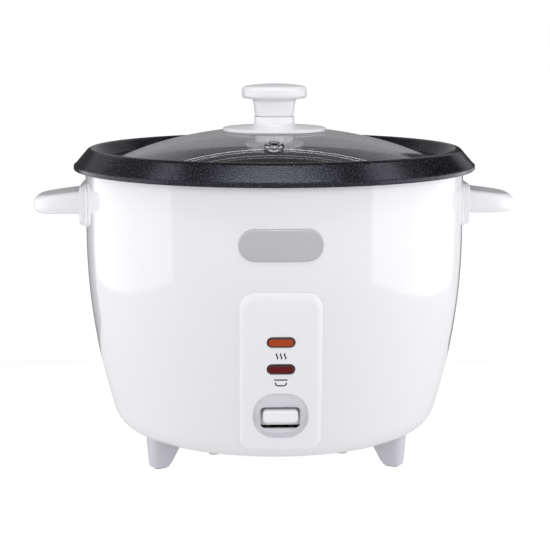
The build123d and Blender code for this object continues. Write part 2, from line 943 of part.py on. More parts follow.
def make_liner():
    """Pot well: a drawn pan that hangs by its flange on the shell's lip."""
    flange_z = shell_top + liner_wall
    step_top = shell_top - liner_step_drop
    path = [
        (liner_hole_radius, liner_floor_top),
        (liner_radius, liner_floor_top),
        (liner_radius, step_top - liner_step_height),
        (liner_rim_radius, step_top),
        (liner_rim_radius, flange_z),
        (liner_rim_radius + liner_wall + liner_flange, flange_z),
    ]
    bends = [liner_corner, liner_step_radius, liner_step_radius, liner_bend]
    liner = turned_sheet(path, bends, liner_wall)
    for x, y in post_places:
        liner -= rod(screw_radius + screw_gap, liner_floor, liner_floor_top, x, y)
    for x, y in terminal_places:
        liner -= rod(bead_radius + cutout_gap, liner_floor, liner_floor_top, x, y)
    for x, y in rivet_places + warmer_rivet_places:
        liner -= rod(rivet_radius + screw_gap, liner_floor, liner_floor_top, x, y)
    return liner


holder_radius = sensor_radius + sensor_lip + holder_side_gap
holder_screw_circle = holder_radius + holder_wall + holder_flange / 2
holder_screw_places = [around(holder_screw_circle, angle) for angle in holder_screw_angles]
holder_flange_bottom = heater_bottom - holder_flange_thickness


def make_heating_plate():
    """Cast plate with a ring bump over the buried element and a hole for the sensor."""
    plate = rod(heater_radius, heater_bottom, pot_bottom)
    plate = chamfer(ring_edge(plate, heater_radius, heater_bottom), heater_edge)
    half = element_width / 2
    plate += tube(element_circle + half, element_circle - half, heater_bottom - element_bump, heater_bottom)
    plate -= rod(sensor_radius + sensor_side_gap, heater_bottom, pot_bottom)
    for x, y in post_places:
        plate -= rod(screw_radius + screw_gap, heater_bottom, heater_bottom + heater_screw_bite, x, y)
    for x, y in holder_screw_places:
        plate -= rod(screw_radius + screw_gap, heater_bottom, heater_bottom + screw_length, x, y)
    return plate


def make_heater_posts():
    """Spacers that carry the heating plate on the well's floor."""
    inner = screw_radius + screw_gap
    return group([tube(post_radius, inner, liner_floor_top, heater_bottom, x, y) for x, y in post_places])


def make_heater_screws():
    """Screws up through the well's floor and the posts into the heating plate."""
    length = heater_bottom + heater_screw_bite - liner_floor
    return group([Pos(x, y, liner_floor) * screw(length) for x, y in post_places])


terminal_top = heater_bottom - element_bump


def make_terminals():
    """Two pins of the heating element."""
    low = terminal_top - terminal_length
    return group([rod(terminal_radius, low, terminal_top, x, y) for x, y in terminal_places])


def make_beads():
    """Ceramic bushes round the element's pins."""
    low = terminal_top - bead_length
    return group([tube(bead_radius, terminal_radius, low, terminal_top, x, y) for x, y in terminal_places])


# Thermostat

sensor_z = pot_bottom - sensor_top_gap
ferrite_top = sensor_z - sensor_top
ferrite_bottom = ferrite_top - ferrite_thickness
holder_floor = heater_bottom - holder_depth
holder_floor_top = holder_floor + holder_flange_thickness
rod_flange_bottom = holder_floor_top + contact_gap
magnet_bottom = rod_flange_bottom + rod_flange_thickness
rod_bottom = rod_flange_bottom - rod_length
lever_toe_z = rod_bottom - contact_gap - lever_thickness / 2


def make_sensor_holder():
    """Flanged cup under the heating plate that guides the sensor and the rod."""
    outer = holder_radius + holder_wall
    holder = rod(outer + holder_flange, holder_flange_bottom, heater_bottom)
    holder += rod(outer, holder_floor, heater_bottom)
    holder -= rod(holder_radius, holder_floor_top, heater_bottom)
    holder -= rod(rod_radius + rod_gap, holder_floor, holder_floor_top)
    for x, y in holder_screw_places:
        holder -= rod(screw_radius + screw_gap, holder_flange_bottom, heater_bottom, x, y)
    return holder


def make_holder_screws():
    """Screws up through the holder's flange into the heating plate."""
    length = screw_length + holder_flange_thickness
    return group([Pos(x, y, holder_flange_bottom) * screw(length) for x, y in holder_screw_places])


def make_sensor_cup():
    """Cap that touches the pot, with a lip that keeps it in the holder."""
    low = sensor_z - sensor_height
    cup = rod(sensor_radius, low, sensor_z) + rod(sensor_radius + sensor_lip, low, low + sensor_lip_height)
    return cup - rod(sensor_radius - sensor_wall, low, ferrite_top)


def make_magnet_rod():
    """Rod with the flange that carries the magnet."""
    flange = rod(rod_flange_radius, rod_flange_bottom, magnet_bottom)
    return flange + rod(rod_radius, rod_bottom, rod_flange_bottom)


# Lever

def make_lever():
    """Bent strip with a pivot boss: its toe lifts the magnet's rod as the paddle goes down."""
    path = FilletPolyline(
        (0, lever_toe, lever_toe_z),
        (0, knee_reach - pivot_reach, lever_toe_z),
        (0, -pivot_reach, pivot_z),
        (0, -pivot_reach - shin_reach, pivot_z + shin_rise),
        (0, -pivot_reach - paddle_neck, paddle_z),
        (0, -paddle_back - paddle_socket, paddle_z),
        radius=lever_bend,
    )
    strip = path.offset_2d(lever_thickness / 2, kind=Kind.ARC, side=Side.BOTH, closed=True)
    lever = extrude(make_face(strip.edges()), amount=lever_width / 2, dir=(1, 0, 0), both=True)
    lever += pivot_line * Cylinder(pivot_boss_radius, lever_width)
    return lever - pivot_line * Cylinder(pivot_pin_radius + running_gap, lever_width)


def make_paddle(lever):
    """Thumb piece pressed on the lever's outer end, with an apron behind the slot."""
    half_x = paddle_width / 2
    half_z = paddle_height / 2
    apron_half = slot_width / 2 + apron_lap
    apron_front = apron_setback - paddle_front
    paddle = block(
        (-half_x, half_x), (-paddle_front, -paddle_back), (paddle_z - half_z, paddle_z + half_z)
    )
    paddle = fillet(paddle.faces().sort_by(Axis.Y)[0].edges(), eased(paddle_round, half_z))
    paddle += block(
        (-apron_half, apron_half),
        (apron_front, apron_front + apron_thickness),
        (paddle_z - half_z - apron_drop, paddle_z + half_z),
    )
    return paddle - lever


bracket_outside = bracket_inside + bracket_wall
bracket_top = liner_floor - bracket_wall
bracket_back = -pivot_reach + bracket_plate_length / 2
switch_top = pivot_z - switch_drop
plunger_y = -pivot_reach - plunger_reach


def make_bracket():
    """Bracket that hangs from the well's floor, with an ear on each side of the lever."""
    half = bracket_plate_width / 2
    plate_front = bracket_back - bracket_plate_length
    ear_front = bracket_back - bracket_length
    plate = block((-half, half), (plate_front, bracket_back), (bracket_top, liner_floor))
    for side in (-1, 1):
        limits = sorted((side * bracket_inside, side * bracket_outside))
        plate += block(limits, (ear_front, bracket_back), (bracket_top - bracket_depth, bracket_top))
    plate -= pivot_line * Cylinder(pivot_pin_radius, bracket_plate_width)
    for x, y in rivet_places:
        plate -= rod(rivet_radius + screw_gap, bracket_top, liner_floor, x, y)
    return plate


def make_rivet(x, y, low, high):
    """Rivet that clamps sheets between two heights."""
    rivet = rod(rivet_radius, low, high, x, y)
    rivet += rod(rivet_head_radius, low - rivet_head_height, low, x, y)
    return rivet + rod(rivet_head_radius, high, high + rivet_head_height, x, y)


def make_rivets(places, low):
    """Rivets that clamp a piece, from its lower face up, to the well's floor."""
    return group([make_rivet(x, y, low, liner_floor_top) for x, y in places])


def make_lever_pin():
    """Pivot pin held by the bracket's ears."""
    return pivot_line * Cylinder(pivot_pin_radius, 2 * (bracket_outside + bracket_wall))


def make_micro_switch():
    """Switch body between the bracket's ears, with a guide hole for its plunger."""
    body = block(
        (-bracket_inside, bracket_inside),
        (plunger_y - switch_length / 2, plunger_y + switch_length / 2),
        (switch_top - switch_height, switch_top),
    )
    guide_bottom = switch_top - plunger_depth - plunger_room
    return body - rod(plunger_radius + running_gap, guide_bottom, switch_top, 0, plunger_y)


def lever_underside(y):
    """Height of the lever's lower face on its outer arm."""
    share = (-pivot_reach - y) / shin_reach
    slope = shin_rise / shin_reach
    return pivot_z + share * shin_rise - lever_thickness / 2 * sqrt(1 + slope**2)


def make_plunger():
    """Switch plunger under the lever's outer arm."""
    top = lever_underside(plunger_y + plunger_radius) - plunger_gap
    return rod(plunger_radius, switch_top - plunger_depth, top, 0, plunger_y)


def make_switch_tabs():
    """Two contact tabs below the switch."""
    top = switch_top - switch_height
    half_x = tab_width / 2
    half_y = tab_thickness / 2
    tabs = []
    for side in (-1, 1):
        y = plunger_y + side * tab_spacing
        tabs.append(block((-half_x, half_x), (y - half_y, y + half_y), (top - tab_length, top)))
    return group(tabs)


# Parts under the well

fuse_z = liner_floor - fuse_radius
fuse_line = Plane(origin=(fuse_x, fuse_y, fuse_z), z_dir=(1, 0, 0))


def make_fuse():
    """Thermal fuse with its two leads, lying against the well's floor."""
    return fuse_line * Cylinder(fuse_radius, fuse_length) + fuse_line * Cylinder(
        fuse_lead_radius, fuse_length + 2 * fuse_lead_length
    )


def make_fuse_clip():
    """Strap that holds the fuse against the well's floor."""
    outer = fuse_radius + clip_wall
    x_range = (fuse_x - clip_width / 2, fuse_x + clip_width / 2)
    feet_range = (fuse_y - outer - clip_foot, fuse_y + outer + clip_foot)
    strap = fuse_line * Cylinder(outer, clip_width)
    strap -= block(x_range, (fuse_y - outer, fuse_y + outer), (fuse_z, fuse_z + outer))
    strap += block(x_range, (fuse_y - outer, fuse_y + outer), (fuse_z, liner_floor))
    strap += block(x_range, feet_range, (liner_floor - clip_wall, liner_floor))
    strap -= block(x_range, (fuse_y - fuse_radius, fuse_y + fuse_radius), (fuse_z, liner_floor))
    return strap - fuse_line * Cylinder(fuse_radius, clip_width)


warmer_bottom = liner_floor - warmer_thickness


def make_warmer():
    """Flat keep-warm element against the well's floor."""
    x_range = (warmer_x - warmer_length / 2, warmer_x + warmer_length / 2)
    y_range = (warmer_y - warmer_width / 2, warmer_y + warmer_width / 2)
    warmer = block(x_range, y_range, (warmer_bottom, liner_floor))
    for x, y in warmer_rivet_places:
        warmer -= rod(rivet_radius + screw_gap, warmer_bottom, liner_floor, x, y)
    return warmer


# Wiring under the well

pin_tail_y = inlet_back - pin_tail
terminal_bottom = terminal_top - terminal_length
tab_z = switch_top - switch_height - tab_length / 2
fuse_lead_reach = fuse_length / 2 + fuse_lead_length
low_lane = shell_bottom + shell_wall + wire_lift
high_lane = low_lane + wire_lane


def wire(points):
    """Insulated wire through the given points, with every bend as large as its runs allow."""
    runs = [Vector(*b) - Vector(*a) for a, b in zip(points, points[1:])]
    bends = []
    for before, after in zip(runs, runs[1:]):
        turn = radians(before.get_angle(after))
        bends.append(wire_bend_share * min(before.length, after.length) / tan(turn / 2))
    path = FilletPolyline(*points, radius=bends)
    section = Plane(origin=points[0], z_dir=runs[0]) * Circle(wire_radius)
    return sweep(section, path=path)


def make_wires():
    """Wires from the inlet to the fuse, the switch and the heating element, and the earth wire."""
    right_x, right_y = terminal_places[0]
    left_x, left_y = terminal_places[1]
    live = wire([
        (pin_spacing, pin_tail_y, inlet_z - pin_offset),
        (pin_spacing, pin_tail_y - wire_exit, inlet_z - pin_offset),
        (live_bend_x, live_bend_y, high_lane),
        (live_side_x, live_side_y, high_lane + wire_step),
        (live_lead_x, fuse_y + wire_step, fuse_z - wire_droop),
        (fuse_x + fuse_lead_reach + lead_run, fuse_y, fuse_z),
        (fuse_x + fuse_lead_reach, fuse_y, fuse_z),
    ])
    fused = wire([
        (fuse_x - fuse_lead_reach, fuse_y, fuse_z),
        (fuse_x - fuse_lead_reach - fused_run, fuse_y, fuse_z),
        (right_x - wire_step, right_y - fused_reach, terminal_bottom),
        (right_x - wire_ease, right_y - loop_end, terminal_bottom - loop_drop),
        (right_x, right_y, terminal_bottom - loop_end),
        (right_x, right_y, terminal_bottom),
    ])
    neutral = wire([
        (-pin_spacing, pin_tail_y, inlet_z - pin_offset),
        (-pin_spacing, pin_tail_y - wire_exit, inlet_z - pin_offset),
        (-neutral_bend_x, neutral_bend_y, low_lane + wire_step),
        (-neutral_side_x, neutral_side_y, low_lane),
        (-neutral_front_x, -neutral_front_y, low_lane),
        (-neutral_turn_x, -neutral_turn_y, low_lane),
        (-neutral_tab_x, plunger_y + tab_spacing, tab_z),
        (-tab_width / 2, plunger_y + tab_spacing, tab_z),
    ])
    switched = wire([
        (-tab_width / 2, plunger_y - tab_spacing, tab_z),
        (-switched_tab_x, plunger_y - tab_spacing, tab_z),
        (-switched_turn_x, -switched_turn_y, low_lane + wire_droop),
        (-switched_side_x, -switched_side_y, high_lane),
        (-switched_back_x, switched_back_y, high_lane + wire_ease),
        (-switched_bend_x, switched_bend_y, high_lane + wire_ease),
        (left_x - loop_drop, left_y + wire_ease, terminal_bottom - loop_drop),
        (left_x, left_y, terminal_bottom - loop_end),
        (left_x, left_y, terminal_bottom),
    ])
    earth = wire([
        (0, pin_tail_y, inlet_z + pin_offset),
        (0, post_circle + wire_step, inlet_z + pin_offset),
        (0, post_circle, inlet_z + pin_offset + wire_step),
        (0, post_circle, liner_floor - screw_head_height),
    ])
    return group([live, fused, neutral, switched, earth])


# Lid

glass_radius = ledge_radius - glass_gap
dome_fall = dome_radius - sqrt(dome_radius**2 - glass_radius**2)
dome_apex = ledge_z + glass_edge + dome_fall
dome_centre = dome_apex - dome_radius
inner_apex = dome_apex - glass_thickness


def dome_ball(inset=0.0):
    """Ball inside the glass dome's outer surface."""
    return Pos(0, 0, dome_centre) * Sphere(dome_radius - inset)


eyelet_z = dome_centre + sqrt(dome_radius**2 - eyelet_circle**2)
eyelet_x, eyelet_y = around(eyelet_circle, eyelet_angle)
eyelet_plane = along((eyelet_x, eyelet_y, eyelet_z), (eyelet_x, eyelet_y, eyelet_z - dome_centre))


def make_glass():
    """Domed glass with a ground seat, a knob hole and a vent hole."""
    glass = rod(glass_radius, ledge_z, dome_apex + glass_thickness) & dome_ball()
    glass -= dome_ball(glass_thickness)
    glass -= rod(knob_hole_radius, ledge_z, dome_apex + glass_thickness)
    return glass - eyelet_plane * Cylinder(eyelet_shank, 4 * glass_thickness)


def make_eyelet(glass):
    """Vent eyelet rolled over both faces of the glass."""
    collar = rod(eyelet_radius, -glass_thickness, eyelet_rise)
    collar = fillet(ring_edge(collar, eyelet_radius, eyelet_rise), eased(eyelet_round, eyelet_rise))
    low = -glass_thickness - 2 * eyelet_flange
    form = rod(eyelet_flange_radius, low, -glass_thickness / 2) + collar
    form -= tube(2 * eyelet_radius, eyelet_flange_radius, 2 * low, -glass_thickness / 2)
    form -= rod(eyelet_bore, 2 * low, 2 * eyelet_rise)
    return eyelet_plane * form - glass


knob_rim_z = dome_centre + sqrt(dome_radius**2 - knob_base_radius**2)
knob_edge_z = knob_rim_z + knob_base_edge
knob_root_z = knob_edge_z + knob_base_cone
seam_z = knob_root_z + knob_stem_height
throat_z = seam_z + knob_throat_height
cap_under_z = throat_z + knob_cap_lift
cap_edge_z = cap_under_z + knob_cap_height


def make_knob_base():
    """Saucer on the glass with the lower part of the stem."""
    base = turned([
        (0, dome_centre + dome_radius - glass_thickness),
        (knob_base_radius, dome_centre + dome_radius - glass_thickness),
        (knob_base_radius, knob_edge_z),
        (knob_stem_radius, knob_root_z),
        (knob_stem_radius, seam_z),
        (0, seam_z),
    ])
    base = fillet(ring_edge(base, knob_base_radius, knob_edge_z), eased(knob_base_round, knob_base_edge))
    base = fillet(ring_edge(base, knob_stem_radius, knob_root_z), knob_root_radius)
    base -= dome_ball()
    return base - rod(knob_screw_radius + screw_gap, inner_apex, seam_z)


def make_knob_cap():
    """Upper stem that widens into the finger cap, with a blind screw hole."""
    sides = turned([
        (0, seam_z),
        (knob_neck_radius, seam_z),
        (knob_throat_radius, throat_z),
        (knob_cap_radius, cap_under_z),
        (knob_cap_radius, cap_edge_z),
        (0, cap_edge_z),
    ])
    sides = fillet(ring_edge(sides, knob_throat_radius, throat_z), knob_throat_round)
    half_cap = knob_cap_height / 2
    sides = fillet(ring_edge(sides, knob_cap_radius, cap_under_z), eased(knob_cap_under_round, half_cap))
    crown_radius = (knob_cap_radius**2 + knob_cap_crown**2) / (2 * knob_cap_crown)
    crown = Pos(0, 0, cap_edge_z + knob_cap_crown - crown_radius) * Sphere(crown_radius)
    sides += rod(knob_cap_radius, cap_edge_z, cap_edge_z + knob_cap_crown) & crown
    sides = fillet(ring_edge(sides, knob_cap_radius, cap_edge_z), eased(knob_cap_round, half_cap))
    blind = washer_top + knob_screw_length + knob_screw_radius
    return sides - rod(knob_screw_radius + screw_gap, seam_z, blind)


gasket_bottom = inner_apex - gasket_thickness
washer_bottom = gasket_bottom - washer_thickness
washer_top = gasket_bottom


def make_gasket():
    """Ring between the glass and the washer."""
    gasket = rod(gasket_radius, gasket_bottom, inner_apex) & dome_ball(glass_thickness)
    return gasket - rod(knob_screw_radius + screw_gap, gasket_bottom, inner_apex)


def make_knob_screw():
    """Screw from under the lid up into the knob."""
    length = knob_screw_length + washer_thickness
    one = screw(length, knob_screw_radius, knob_screw_head, knob_screw_head_height)
    return Pos(0, 0, washer_bottom) * one


# Assembly

parts = {
    "outer_shell": make_shell(),
    "inner_liner": make_liner(),
    "base_plate": make_base_plate(),
    "base_screws": make_base_screws(),
    "foot_screws": make_foot_screws(),
    "heating_plate": make_heating_plate(),
    "heater_posts": make_heater_posts(),
    "heater_screws": make_heater_screws(),
    "heater_terminals": make_terminals(),
    "terminal_beads": make_beads(),
    "sensor_holder": make_sensor_holder(),
    "holder_screws": make_holder_screws(),
    "sensor_cup": make_sensor_cup(),
    "sensor_ferrite": rod(ferrite_radius, ferrite_bottom, ferrite_top),
    "sensor_spring": coil(
        sensor_spring_radius, sensor_spring_wire, sensor_spring_turns, holder_floor_top, ferrite_bottom
    ),
    "magnet_ring": tube(magnet_radius, magnet_bore, magnet_bottom, magnet_bottom + magnet_height),
    "magnet_rod": make_magnet_rod(),
    "magnet_spring": coil(
        magnet_spring_radius, magnet_spring_wire, magnet_spring_turns, magnet_bottom, ferrite_bottom
    ),
    "lever_bracket": make_bracket(),
    "bracket_rivets": make_rivets(rivet_places, bracket_top),
    "lever_pin": make_lever_pin(),
    "micro_switch": make_micro_switch(),
    "switch_plunger": make_plunger(),
    "switch_tabs": make_switch_tabs(),
    "control_panel": make_panel(),
    "upper_lens": make_lens(lens_places()[0]),
    "lower_lens": make_lens(lens_places()[1]),
    "lamp_holder": make_lamp_holder(),
    "neon_lamps": group([lamp_form(local_y) for local_y in lens_places()]),
    "panel_screws": make_panel_screws(),
    "badge_plate": make_badge(),
    "handle_left": make_handle(-1),
    "handle_right": make_handle(1),
    "handle_screws": make_handle_screws(),
    "power_inlet": make_inlet(),
    "inlet_pins": make_inlet_pins(),
    "inlet_screws": make_inlet_screws(),
    "thermal_fuse": make_fuse(),
    "fuse_clip": make_fuse_clip(),
    "warmer_element": make_warmer(),
    "warmer_rivets": make_rivets(warmer_rivet_places, warmer_bottom),
    "wires": make_wires(),
    "inner_pot": make_pot(),
    "pot_corner": make_pot_corner(),
    "pot_floor": make_pot_floor(),
    "lid_glass": make_glass(),
    "knob_base": make_knob_base(),
    "knob_cap": make_knob_cap(),
    "knob_screw": make_knob_screw(),
    "knob_washer": tube(washer_radius, knob_screw_radius + screw_gap, washer_bottom, washer_top),
    "knob_gasket": make_gasket(),
}
parts["switch_lever"] = make_lever()
parts["switch_paddle"] = make_paddle(parts["switch_lever"])
parts["vent_eyelet"] = make_eyelet(parts["lid_glass"])
for name, angle in zip(foot_names, foot_angles):
    parts[name] = make_foot(angle)
    parts[name.replace("foot", "pad", 1)] = make_foot_pad(angle)

os.makedirs("parts", exist_ok=True)
for name, shape in parts.items():
    export_step(shape, f"parts/{name}.step")
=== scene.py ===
import json
import math

import bmesh
import bpy
from mathutils import Matrix, Vector
from mathutils.geometry import delaunay_2d_cdt


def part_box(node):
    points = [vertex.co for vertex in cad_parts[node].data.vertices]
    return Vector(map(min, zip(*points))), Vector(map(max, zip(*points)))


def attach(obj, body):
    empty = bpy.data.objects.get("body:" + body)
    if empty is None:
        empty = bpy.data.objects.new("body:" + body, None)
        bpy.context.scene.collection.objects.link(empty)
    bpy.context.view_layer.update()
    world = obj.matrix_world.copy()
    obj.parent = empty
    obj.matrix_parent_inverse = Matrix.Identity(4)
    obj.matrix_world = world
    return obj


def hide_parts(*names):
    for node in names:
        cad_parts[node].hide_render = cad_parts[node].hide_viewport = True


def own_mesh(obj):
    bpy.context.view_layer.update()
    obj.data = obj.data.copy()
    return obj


# Looks of the rice cooker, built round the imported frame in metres.
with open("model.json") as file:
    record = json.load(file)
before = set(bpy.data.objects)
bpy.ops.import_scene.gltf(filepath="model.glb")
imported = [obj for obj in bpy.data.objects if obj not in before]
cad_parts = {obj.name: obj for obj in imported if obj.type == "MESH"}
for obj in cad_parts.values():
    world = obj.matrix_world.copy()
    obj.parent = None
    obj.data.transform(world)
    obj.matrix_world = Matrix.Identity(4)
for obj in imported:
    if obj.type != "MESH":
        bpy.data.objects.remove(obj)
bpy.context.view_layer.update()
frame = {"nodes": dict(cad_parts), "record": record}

MM = 0.001


def in_metres(pairs):
    """Pairs of lengths that are written in millimetres."""
    return [(first * MM, second * MM) for first, second in pairs]


# Mesh density
TURN_STEPS = 288
SMALL_TURN_STEPS = 64
DRILL_STEPS = 48
CORNER_STEPS = 8
EDGE_STEPS = 24
BEND_STEPS = 24
CURVE_STEPS = 40
STRAIGHT_STEPS = 14
DOME_STEPS = 60
SAUCER_STEPS = 20
COIL_STEPS = 48
SHEET_STEP = 2.2 * MM
SHEET_CLEARANCE = 0.6 * SHEET_STEP
SHARP_ANGLE = math.radians(38)
STRAIGHT_ANGLE = math.pi - 0.001
LEAST_CORNER = 0.05 * MM
SAME_PLACE = 1e-7
SAME_TRIANGLE = 1e-9

# Shell
shell_low, shell_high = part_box("outer_shell")
shell_bottom = shell_low.z
shell_top = shell_high.z
shell_radius = shell_high.x
shell_wall = 0.8 * MM
shell_straight = 39.0 * MM
shell_bottom_radius = 88.7 * MM
shell_corner = 18.0 * MM
shell_lip_radius = 2.5 * MM
shell_hole_radius = 101.0 * MM
shell_flange_radius = 63.3 * MM
front_hole_width = 34.0 * MM
front_hole_height = 60.0 * MM
front_hole_corner = 3.0 * MM
front_hole_z = 60.0 * MM
inlet_hole_width = 30.4 * MM
inlet_hole_height = 21.8 * MM
inlet_hole_corner = 2.0 * MM
cutter_near = 70.0 * MM
cutter_far = 120.0 * MM
straight_bottom = shell_top - shell_straight
curve_drop = straight_bottom - shell_bottom
curve_in = shell_radius - shell_bottom_radius
curve_radius = (curve_drop**2 + curve_in**2) / (2 * curve_in)
curve_centre = shell_radius - curve_radius
corner_z = shell_bottom + shell_corner
flat_radius = curve_centre + math.sqrt((curve_radius - shell_corner) ** 2 - (straight_bottom - corner_z) ** 2)

# Pot
pot_wall = 1.5 * MM
pot_radius = 92.5 * MM
pot_corner = 24.0 * MM
pot_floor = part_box("pot_floor")[1].z
ledge_rise = 105.4 * MM
ledge_z = pot_floor + ledge_rise
ledge_radius = 97.2 * MM
rim_wall_height = 5.7 * MM
rim_bend_z = ledge_z + rim_wall_height
rim_apex_radius = 103.35 * MM
rim_flare_height = 8.9 * MM
rim_apex_z = rim_bend_z + rim_flare_height
skirt_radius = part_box("inner_pot")[1].x
skirt_drop = 11.6 * MM
lip_top = rim_apex_z - skirt_drop
lip_height = 2.8 * MM
lip_bottom = lip_top - lip_height
lip_proud = 0.7 * MM
lip_thickness = 1.9 * MM
lip_fold = 0.9 * MM
lip_top_round = 0.65 * MM
lip_low_round = 0.8 * MM
lip_inner_round = 0.4 * MM
ledge_bend = 1.2 * MM
ledge_root_bend = 1.0 * MM
rim_bend = 1.5 * MM
crest_round = 3.8 * MM
least_bend = 0.2 * MM

# Lid and knob
glass_radius = 96.0 * MM
glass_edge = 3.8 * MM
glass_thickness = 4.0 * MM
glass_rim_width = 2.5 * MM
glass_rim_round = 1.2 * MM
glass_seat_round = 0.5 * MM
dome_radius = 246.0 * MM
dome_apex = ledge_z + glass_edge + dome_radius - math.sqrt(dome_radius**2 - glass_radius**2)
dome_centre = dome_apex - dome_radius
knob_hole_radius = 4.0 * MM
screw_hole_radius = 2.6 * MM
eyelet_circle = 57.0 * MM
eyelet_angle = math.radians(268)
eyelet_shank = 3.6 * MM
eyelet_bore = 2.5 * MM
eyelet_head_radius = 5.5 * MM
eyelet_head_height = 1.9 * MM
eyelet_mouth_round = 0.9 * MM
eyelet_head_round = 1.4 * MM
eyelet_tail_radius = 4.8 * MM
eyelet_tail = 5.2 * MM
eyelet_tail_round = 0.3 * MM
eyelet_play = 0.05 * MM
drill_reach = 9.0 * MM
knob_base_radius = 29.4 * MM
knob_edge_height = 1.6 * MM
knob_edge_z = dome_centre + math.sqrt(dome_radius**2 - knob_base_radius**2) + knob_edge_height
saucer_rise = 1.3 * MM
knob_root_z = knob_edge_z + saucer_rise
knob_stem_radius = 11.4 * MM
stem_height = 5.0 * MM
seam_z = knob_root_z + stem_height
seam_gap = 0.4 * MM
seam_depth = 1.2 * MM
knob_neck_radius = 10.9 * MM
knob_throat_radius = 12.2 * MM
neck_height = 9.6 * MM
throat_z = seam_z + neck_height
cap_under_rise = 0.9 * MM
cap_under_z = throat_z + cap_under_rise
cap_radius = 18.5 * MM
cap_edge_height = 6.4 * MM
cap_edge_z = cap_under_z + cap_edge_height
cap_crown = 1.5 * MM
crown_reach = 12.0 * MM
crown_rings = 4
saucer_edge_round = 0.8 * MM
stem_root_round = 2.2 * MM
stem_top_round = 0.3 * MM
neck_round = 0.2 * MM
throat_round = 1.5 * MM
cap_under_round = 1.8 * MM
cap_edge_round = 2.8 * MM

# Control panel
panel_low, panel_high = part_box("control_panel")
panel_width = panel_high.x - panel_low.x
panel_height = panel_high.z - panel_low.z
panel_z = (panel_low.z + panel_high.z) / 2
panel_proud = 2.5 * MM
panel_corner = 8.0 * MM
panel_side_depth = 7.0 * MM
panel_back_depth = 5.7 * MM
panel_side_wall = 1.2 * MM
paddle_low, paddle_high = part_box("switch_paddle")
slot_width = 20.9 * MM
slot_height = 12.5 * MM
slot_corner = 1.8 * MM
slot_head_room = 0.6 * MM
dish_width = 29.2 * MM
dish_height = 25.2 * MM
dish_corner = 11.5 * MM
dish_depth = 4.2 * MM
dish_above_slot = 3.3 * MM
# Depth past which the dish and slot faces get the grey material of painted shade
dish_shade_start = 0.6 * MM
slot_rise = dish_depth * (straight_bottom - paddle_high.z) / curve_radius
slot_z = paddle_high.z + slot_head_room - slot_rise - slot_height / 2
dish_z = slot_z + dish_above_slot
lens_width = 14.3 * MM
lens_height = 5.1 * MM
lens_gap = 0.25 * MM
lens_lean_drop = 0.4 * MM
lens_nodes = ("upper_lens", "lower_lens")
lens_z = [sum(corner.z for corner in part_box(lens)) / 2 - lens_lean_drop for lens in lens_nodes]

# Rounded edges of the panel, the dish, the slot, the lamp windows and their lenses: offset outwards and depth
border_edge = in_metres([
    (-3.6, 0), (-3.0, 0.1), (-2.4, 0.3), (-1.8, 0.62), (-1.2, 1.02), (-0.7, 1.4), (-0.3, 1.8), (-0.08, 2.2),
    (0, 2.6),
])
dish_edge = in_metres([(1.0, 0), (0.65, 0.05), (0.35, 0.18), (0.12, 0.4), (0, 0.75)])
dish_inset = 1.9 * MM
dish_bowl = in_metres([(-0.3, 1.7), (-0.65, 2.7), (-1.05, 3.5), (-1.45, 4.0)]) + [(-dish_inset, dish_depth)]
slot_flare = 0.5 * MM
slot_edge = [(slot_flare, dish_depth)] + in_metres([(0.25, 4.23), (0.08, 4.35), (0, 4.6)])
window_edge = in_metres([(0.45, 0), (0.2, 0.05), (0.05, 0.18), (0, 0.4)])
lens_plug = in_metres([(0, 4.6), (0, 0.1), (-0.1, -0.15), (-0.35, -0.38)])
lens_crown = in_metres([(-0.75, -0.52), (-1.3, -0.6), (-1.9, -0.63)])

# Printed marks
mark_drop = 7.4 * MM
mark_height = 3.2 * MM
mark_width = 0.7 * MM
mark_pitch = 2.1 * MM
mark_swing = 0.35 * MM
mark_pot_width = 5.6 * MM
mark_proud = 0.03 * MM

# Paddle
paddle_width = 18.3 * MM
paddle_height = 6.6 * MM
paddle_corner = 1.9 * MM
paddle_z = paddle_high.z - paddle_height / 2
apron_set_back = 10.7 * MM
apron_front = paddle_low.y + apron_set_back
apron_thickness = 1.5 * MM
apron_corner = 0.8 * MM
paddle_edge = in_metres([
    (-1.6, 0), (-1.05, 0.04), (-0.6, 0.2), (-0.25, 0.5), (-0.06, 0.95), (0, 1.5), (0, 14.0)
])

# Badge
badge_low, badge_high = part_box("badge_plate")
badge_thickness = 0.8 * MM
badge_sink = 0.3 * MM
badge_round = 0.45 * MM
badge_soften = 0.13 * MM
badge_face_inset = 1.5 * MM

# Handles
handle_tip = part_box("handle_right")[1].x
handle_drop = 10.5 * MM
handle_sink = 6.0 * MM
handle_root_width = 40.0 * MM
handle_root_height = 23.0 * MM
handle_root_z = shell_top - handle_drop - handle_root_height / 2
handle_root_corner = 5.0 * MM
handle_root_proud = 2.7 * MM
handle_root_edge = 1.3 * MM
pad_soften = 0.3
flange_margin = 3.0 * MM
flange_width = handle_root_width + 2 * flange_margin
flange_height = handle_root_height + flange_margin / 2
flange_corner = handle_root_corner + flange_margin / 2
flange_proud = 1.0 * MM
flange_edge = 0.5 * MM
grip_width = 39.0 * MM
grip_tip_corner = 14.0 * MM
grip_round = 4.0 * MM
grip_above_root = 6.5 * MM
grip_low = handle_root_z - handle_root_height / 2 + grip_above_root
grip_root_height = 13.4 * MM
grip_tip_height = 9.6 * MM

# Magnet spring
spring_wire = 0.6 * MM
spring_turns = 4

# Feet
foot_angles = {"foot_front_left": 210, "foot_front_right": 330, "foot_rear": 90}
foot_reach = 5.8 * MM
foot_circle = flat_radius + foot_reach
foot_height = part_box("base_plate")[0].z
foot_low = 0.5 * MM
foot_length = 10.3 * MM
foot_width = 10.0 * MM
foot_corner = 3.0 * MM
foot_top_extra = 8.7 * MM
foot_draft = 1.0 * MM
foot_edge = in_metres([(-1.0, 0), (-0.6, 0.08), (-0.3, 0.3), (-0.08, 0.6), (0, 1.0)])
foot_shares = [0.15, 0.3, 0.45, 0.6, 0.75, 0.9, 1.0]
base_plate_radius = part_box("base_plate")[1].x


